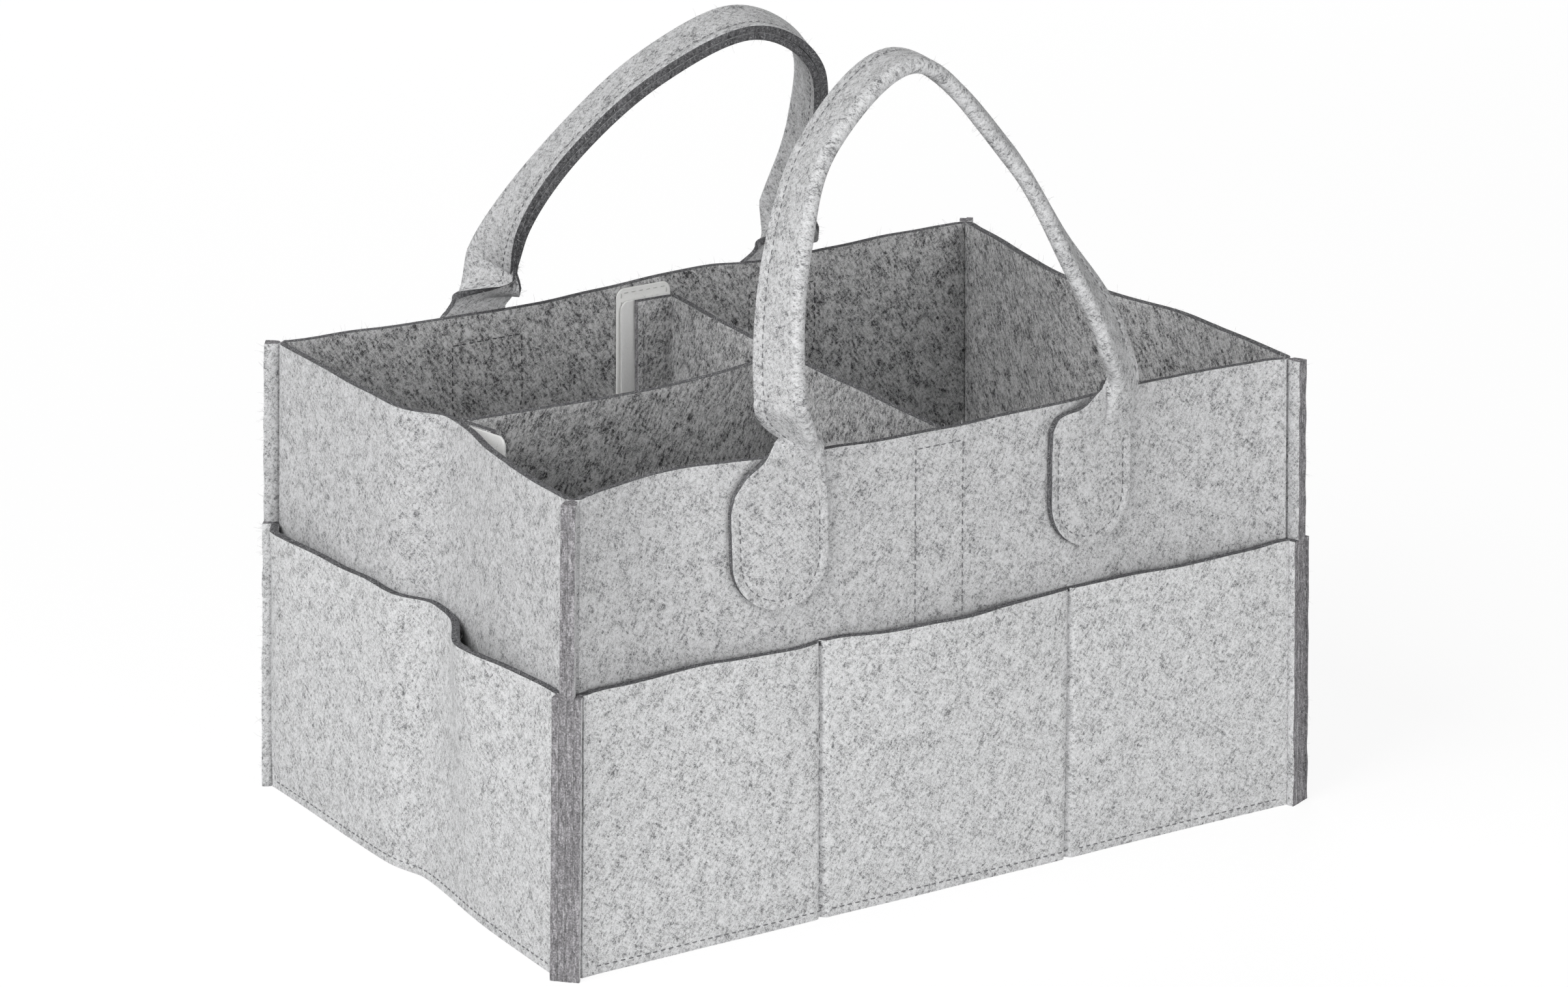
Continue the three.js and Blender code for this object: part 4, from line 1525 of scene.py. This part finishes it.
def tape_edge(top):
    """The sewn line round a tape: across from its middle, and height."""
    side = size_of("tape_width") / 2 - TAPE_STITCH_INSET
    low, high = TAPE_BOTTOM + TAPE_STITCH_INSET, top - TAPE_STITCH_INSET
    corners = [(-side, low), (side, low), (side, high), (-side, high), (-side, low)]
    path = []
    for (a, b), (c, d) in zip(corners, corners[1:]):
        steps = max(2, round(max(abs(c - a), abs(d - b)) / TAPE_STITCH_STEP))
        path += [(mix(a, c, k / steps), mix(b, d, k / steps)) for k in range(steps + 1)]
    return path


def cross_x(y):
    """Where the cross divider's middle runs."""
    inside = size_of("width") / 2 - SIDE_LEAN
    return CROSS_FRONT_X + CROSS_BACK_SWAY * max(0.0, y / inside) ** 2


class CADDY_OT_loop_tapes(CaddyOperator, bpy.types.Operator):
    """Makes the loop tapes that are sewn to the inside of the walls"""

    bl_idname = "caddy.loop_tapes"
    bl_label = "Loop tapes"

    def make(self):
        walls = four_walls()
        for name, middle in (("back", BACK_TAPE_X), ("front", FRONT_TAPE_X), ("left", LEFT_TAPE_Y)):
            wall = walls[name]
            top = wall.height - (BACK_TAPE_TOP_DROP if name == "back" else TAPE_TOP_DROP)
            piece, flat = tape_strip(
                f"{name}_loop_strip", top,
                lambda across, z, w=wall, m=middle: w.point(m + across, z, LOOP_DEPTH), "loop_tape")
            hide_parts(f"{name}_loop_tape")
            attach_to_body(piece, "caddy")
            path = tape_edge(top)
            face = LOOP_DEPTH - TAPE / 2 + TAPE_STITCH_SINKS
            runs = [[wall.face(middle + a, z, lambda u, v: face, inwards=True) for a, z in path]]
            finish = "tape_thread"
            if name == "front":
                lowest = size_of("pocket_height") - TAPE_SHOWS_BELOW
                runs.append([wall.face(middle + a, z, lambda u, v: 0.0) for a, z in path if z > lowest])
                finish = "thread"
            attach(sew(f"{name}_tape_stitches", runs, finish=finish), "caddy")


class CADDY_OT_divider(CaddyOperator, bpy.types.Operator):
    """Makes the divider: its cross piece, its long arm and their hook tapes"""

    bl_idname = "caddy.divider"
    bl_label = "Divider"

    def make(self):
        wall = four_walls()["left"]
        self.inside = wall.half_width(wall.height)
        self.cross_top = wall.height - CROSS_TOP_DROP
        self.arm_top = wall.height - ARM_TOP_DROP
        self.make_cross(wall)
        self.make_arm(wall)

    def rounded(self, corner, before, after):
        """Points of a soft bend round a corner between two directions."""
        a = corner + (before - corner).normalized() * FLANGE_BEND
        b = corner + (after - corner).normalized() * FLANGE_BEND
        bend = []
        for k in range(BEND_STEPS + 1):
            t = k / BEND_STEPS
            bend.append(a * (1 - t) ** 2 + corner * 2 * t * (1 - t) + b * t ** 2)
        return bend

    def cross_flange(self, end, reach):
        """Plan of the flange and its bend at one end of the cross piece."""
        y = end * reach
        corner = Vector((cross_x(y), y))
        tip = corner - Vector((FLANGE_WIDTH, 0))
        further = y - end * BEND_GUIDE
        inwards = Vector((cross_x(further), further))
        bend = self.rounded(corner, tip, inwards)
        return [tip.lerp(bend[0], k / CROSS_FLANGE_COUNT) for k in range(CROSS_FLANGE_COUNT)] + bend

    def make_cross(self, wall):
        reach = self.inside + FLANGE_DEPTH
        low = reach - FLANGE_BEND - BEND_CLEAR
        ys = [mix(low, -low, k / CROSS_COUNT) for k in range(CROSS_COUNT + 1)]
        plan = self.cross_flange(1, reach)
        plan += [Vector((cross_x(y), y)) for y in ys]
        plan += self.cross_flange(-1, reach)[::-1]

        def place(column, row):
            x, y = plan[column]
            uneven = noise.noise(Vector((x / DIVIDER_WAVE_LENGTH, y / DIVIDER_WAVE_LENGTH, DIVIDER_SEED)))
            top = self.cross_top + DIVIDER_WAVE * uneven
            return Vector((x, y, mix(FLOOR_TOP, top, row / (DIVIDER_ROWS - 1))))

        self.make_felt("cross_divider", "divider", len(plan), place, "cross")
        runs = []
        for name, end in (("back", 1), ("front", -1)):
            y = end * (self.inside + HOOK_DEPTH)
            middle = cross_x(y) + wall.felt / 2 - size_of("tape_width") / 2
            self.make_tape(
                name, self.cross_top, lambda across, z: Vector((middle + across, y, z)),
                "cross_divider", "divider")
            near = end * (reach - wall.felt / 2)
            fold = cross_x(near)
            for x in (fold - FLANGE_WIDTH + FLANGE_EDGE_INSET, fold - CROSS_BEND_INSET):
                runs.append(self.upright_run(
                    lambda z: (Vector((x, near, z)), Vector((0, -end, 0))), self.cross_top))
        attach(sew("cross_divider_stitches", runs), "divider")

    def make_felt(self, name, body, columns, place, seed):
        """Makes one of the divider's two pieces of felt, with loose fibres along its top."""
        piece, flat = shaped_sheet(
            f"{name}_felt", columns, DIVIDER_ROWS, place, size_of("felt"), 0, INSIDE_FINISHES)
        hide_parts(name)
        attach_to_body(piece, body)
        chance = random.Random(seed)
        roots = self.spread([place(column, DIVIDER_ROWS - 1) for column in range(columns)], chance)
        attach(loose_fibres(f"{name}_fibres", roots, chance), body)

    def make_tape(self, name, top, point, node, body):
        """Makes the hook tape on a flange. point(across, z) gives its middle surface."""
        tape, flat = tape_strip(f"{name}_hook_strip", top, point, "hook_tape")
        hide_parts(f"{name}_hook_tape")
        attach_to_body(tape, body)

    def upright_run(self, seat, top):
        """A run of stitches up a flange, where seat(z) gives point and normal."""
        return straight_run(seat, TAPE_BOTTOM + FLANGE_STITCH_ENDS, top - FLANGE_STITCH_ENDS)

    def spread(self, tops, chance):
        """Roots at random over a top edge's length and thickness."""
        way = Vector((0, 0, 1))
        roots = []
        for a, b in zip(tops, tops[1:]):
            beside = (b - a).cross(way).normalized()
            spacing = EDGE_FIBRE_SPACING / max(LEAST_EDGE_STEP, (b - a).length)
            for share in scatter(chance, 0, 1, spacing):
                aside = chance.uniform(-DIVIDER_ROOTS_HALF, DIVIDER_ROOTS_HALF)
                roots.append((a.lerp(b, share) + beside * aside, way + beside * aside * DIVIDER_ROOTS_LEAN))
        return roots

    def stands_off(self, u):
        """How far the left flange leans away from the wall towards its free edge."""
        return FLANGE_STANDS_OFF * max(0.0, (ARM_LEFT_Y - u) / FLANGE_WIDTH) ** FLANGE_STANDS_OFF_POWER

    def arm_y(self, x, start, end):
        bend = start + ARM_STRAIGHT
        return ARM_LEFT_Y + ARM_SWAY * max(0.0, (x - bend) / (end - bend)) ** 2

    def flange_point(self, wall, u, z, depth=FLANGE_DEPTH):
        return wall.point(u, z, depth - self.stands_off(u))

    def make_arm(self, wall):
        start = -wall.across(wall.height)
        end = cross_x(ARM_LEFT_Y + ARM_SWAY) - wall.felt / 2 - LAYER_GAP

        def top_at(x):
            return mix(self.arm_top, self.cross_top, (x - start) / (end - start))

        def plan(level):
            z = mix(FLOOR_TOP, self.arm_top, level)
            corner = wall.point(ARM_LEFT_Y, z, FLANGE_DEPTH)
            near = self.flange_point(wall, ARM_LEFT_Y - FLANGE_BEND * 2, z)
            after = corner + Vector((FLANGE_BEND * 2, 0, 0))
            bend = self.rounded(corner, near, after)
            low = ARM_LEFT_Y - FLANGE_WIDTH
            high = ARM_LEFT_Y - FLANGE_BEND - BEND_CLEAR / 2
            places = [mix(low, high, k / ARM_FLANGE_COUNT) for k in range(ARM_FLANGE_COUNT)]
            points = [self.flange_point(wall, u, z) for u in places] + bend
            first = bend[-1].x + BEND_CLEAR
            for k in range(ARM_COUNT + 1):
                x = mix(first, end, k / ARM_COUNT)
                lift = mix(FLOOR_TOP, top_at(x), level)
                points.append(Vector((x, self.arm_y(x, start, end), lift)))
            return points

        levels = [plan(row / (DIVIDER_ROWS - 1)) for row in range(DIVIDER_ROWS)]
        self.make_felt(
            "long_divider", "divider_arm", len(levels[0]), lambda column, row: levels[row][column], "arm")
        self.make_tape(
            "left", self.arm_top,
            lambda across, z: self.flange_point(wall, LEFT_TAPE_Y + across, z, HOOK_DEPTH),
            "long_divider", "divider_arm")
        near = FLANGE_DEPTH - wall.felt / 2
        runs = []
        for u in (ARM_LEFT_Y - FLANGE_WIDTH + FLANGE_EDGE_INSET, ARM_LEFT_Y - ARM_BEND_INSET):
            runs.append(self.upright_run(
                lambda z: wall.face(u, z, lambda a, b: near - self.stands_off(a), inwards=True),
                self.arm_top))
        attach(sew("long_divider_stitches", runs), "divider_arm")


class CADDY_OT_seams(CaddyOperator, bpy.types.Operator):
    """Sews the pockets, the foot and the corner seams"""

    bl_idname = "caddy.seams"
    bl_label = "Seams"

    def make(self):
        for name, wall in four_walls().items():
            pocket = PocketLayer(wall)
            reach = wall.along(wall.height) - REACH_MARGIN
            runs = [straight_run(
                lambda u: wall.face(u, FOOT_STITCH_Z, pocket.outer), -reach, reach, SEAM_STITCH_STEP)]
            tacks = []
            top = pocket.height - POCKET_STITCH_DROP
            for seam in pocket.marks:
                runs.append(straight_run(
                    lambda z: wall.face(seam, z, pocket.outer), FOOT_STITCH_Z + POCKET_STITCH_RISE, top))
                runs.append(straight_run(
                    lambda z: wall.face(seam, z, lambda u, v: -wall.felt, inwards=True),
                    INSIDE_STITCH_Z, top))
                for rise in TACK_RISES:
                    tacks.append(straight_run(
                        lambda u: wall.face(u, top + rise, pocket.outer),
                        seam - TACK_HALF, seam + TACK_HALF, TACK_STEP))
            for end in (-1, 1):
                runs += self.corner_runs(pocket, WallLayer(wall), end)
            attach(sew(f"{name}_seam_stitches", runs), "caddy")
            if tacks:
                attach(sew(f"{name}_bar_tacks", tacks, 2 * TACK_HALF, "inside_thread"), "caddy")

    def corner_runs(self, pocket, bare, end):
        """The sewing on one side of a corner seam, over the pocket and over the bare wall above it."""
        wall = bare.wall
        sx, sy = wall.signs(end)
        normal = (Vector((-sx, sy, 0)) if wall.run == "x" else Vector((sx, -sy, 0))).normalized()
        below, above = SEAM_STITCH_GAPS
        spans = (
            (pocket, SEAM_STITCH_FOOT, pocket.height - below),
            (bare, pocket.height + above, bare.height - above))
        runs = []
        for layer, low, high in spans:
            def seat(z):
                depth = layer.end_depth + wall.felt
                fold, tip = wall.corner(end, z, depth, layer.seam_offset + wall.felt * SEWN_SHARE)
                return fold.lerp(tip, SEWN_PLACE), normal
            runs.append(straight_run(seat, low, high, SEAM_STITCH_STEP))
        return runs


class CADDY_OT_stage(CaddyOperator, bpy.types.Operator):
    """Sets the floor, the soft light and the camera"""

    bl_idname = "caddy.stage"
    bl_label = "Stage"

    def make(self):
        self.floor()
        self.world()
        self.lights()
        self.camera()
        bpy.context.scene.view_settings.view_transform = "Standard"

    def floor(self):
        bpy.ops.object.select_all(action="DESELECT")
        bpy.ops.mesh.primitive_plane_add(size=FLOOR_SIZE)
        floor = bpy.context.object
        floor.name = "pale_floor"
        material, tree, shader = new_material("Pale floor")
        feed(tree, shader, {"Base Color": colour_of("floor"), "Roughness": 0.9, "Specular IOR Level": 0.0})
        glow = add_node(tree, "ShaderNodeEmission", {"Color": WHITE, "Strength": FLOOR_GLOW})
        path = add_node(tree, "ShaderNodeLightPath", {})
        share = calculate(tree, "MULTIPLY", path.outputs["Is Camera Ray"], FLOOR_GLOW_SHARE)
        self.mix_shaders(tree, share, shader.outputs["BSDF"], glow.outputs["Emission"], "Material Output")
        floor.data.materials.append(material)

    def mix_shaders(self, tree, share, first, second, output):
        """Ends a node tree with a mix of two shaders."""
        both = add_node(tree, "ShaderNodeMixShader", {"Fac": share, 1: first, 2: second})
        feed(tree, tree.nodes[output], {"Surface": both.outputs["Shader"]})

    def world(self):
        world = bpy.data.worlds.new("Soft studio")
        bpy.context.scene.world = world
        world.use_nodes = True
        tree = world.node_tree
        ambient = tree.nodes["Background"]
        feed(tree, ambient, {"Color": WHITE, "Strength": AMBIENT})
        white = add_node(tree, "ShaderNodeBackground", {"Color": WHITE, "Strength": 1.0})
        path = add_node(tree, "ShaderNodeLightPath", {})
        seen = path.outputs["Is Camera Ray"]
        for ray in ("Is Glossy Ray", "Is Transmission Ray"):
            seen = calculate(tree, "MAXIMUM", seen, path.outputs[ray])
        self.mix_shaders(
            tree, seen, ambient.outputs["Background"], white.outputs["Background"], "World Output")

    def lights(self):
        target = Vector(LIGHT_TARGET)
        for name, place, size, power in LIGHTS:
            data = bpy.data.lights.new(name, "AREA")
            data.shape = "SQUARE"
            data.size = size
            data.energy = power
            lamp = bpy.data.objects.new(name, data)
            bpy.context.scene.collection.objects.link(lamp)
            lamp.location = place
            lamp.rotation_euler = (target - lamp.location).to_track_quat("-Z", "Y").to_euler()

    def camera(self):
        azimuth, elevation, roll = (
            math.radians(a) for a in (CAMERA_AZIMUTH, CAMERA_ELEVATION, CAMERA_ROLL))
        flat = math.cos(elevation)
        back = Vector((math.sin(azimuth) * flat, -math.cos(azimuth) * flat, math.sin(elevation)))
        level = Vector((math.cos(azimuth), math.sin(azimuth), 0))
        upright = back.cross(level)
        right = level * math.cos(roll) + upright * math.sin(roll)
        up = upright * math.cos(roll) - level * math.sin(roll)
        data = bpy.data.cameras.new("photo_camera")
        data.sensor_fit = "HORIZONTAL"
        data.sensor_width = CAMERA_SENSOR
        data.lens = CAMERA_LENS
        camera = bpy.data.objects.new("photo_camera", data)
        bpy.context.scene.collection.objects.link(camera)
        place = Matrix((right, up, back)).transposed().to_4x4()
        place.translation = Vector(CAMERA_EYE)
        camera.matrix_world = place
        bpy.context.scene.camera = camera


class CADDY_PT_panel(bpy.types.Panel):
    """Lists the caddy's pieces in the sidebar"""

    bl_idname = "CADDY_PT_panel"
    bl_label = "Caddy"
    bl_space_type = "VIEW_3D"
    bl_region_type = "UI"
    bl_category = "Caddy"

    def draw(self, context):
        for group in (context.scene.caddy_sizes, context.scene.caddy_colours):
            column = self.layout.column(align=True)
            for setting in group.__annotations__:
                column.prop(group, setting)
        for operator in OPERATORS:
            self.layout.operator(operator.bl_idname)


OPERATORS = (
    CADDY_OT_stage, CADDY_OT_base, CADDY_OT_walls, CADDY_OT_pockets, CADDY_OT_fibres,
    CADDY_OT_handles, CADDY_OT_loop_tapes, CADDY_OT_divider, CADDY_OT_seams,
)
CLASSES = (CaddySizes, CaddyColours, *OPERATORS, CADDY_PT_panel)


def register():
    for item in CLASSES:
        bpy.utils.register_class(item)
    bpy.types.Scene.caddy_sizes = PointerProperty(type=CaddySizes)
    bpy.types.Scene.caddy_colours = PointerProperty(type=CaddyColours)


def unregister():
    del bpy.types.Scene.caddy_colours
    del bpy.types.Scene.caddy_sizes
    for item in reversed(CLASSES):
        bpy.utils.unregister_class(item)


def main():
    register()
    bpy.ops.object.select_all(action="DESELECT")
    bpy.ops.caddy.stage()
    bpy.ops.caddy.base()
    bpy.ops.caddy.walls()
    bpy.ops.caddy.pockets()
    bpy.ops.caddy.fibres()
    bpy.ops.caddy.handles()
    bpy.ops.caddy.loop_tapes()
    bpy.ops.caddy.divider()
    bpy.ops.caddy.seams()


if __name__ == "__main__":
    main()
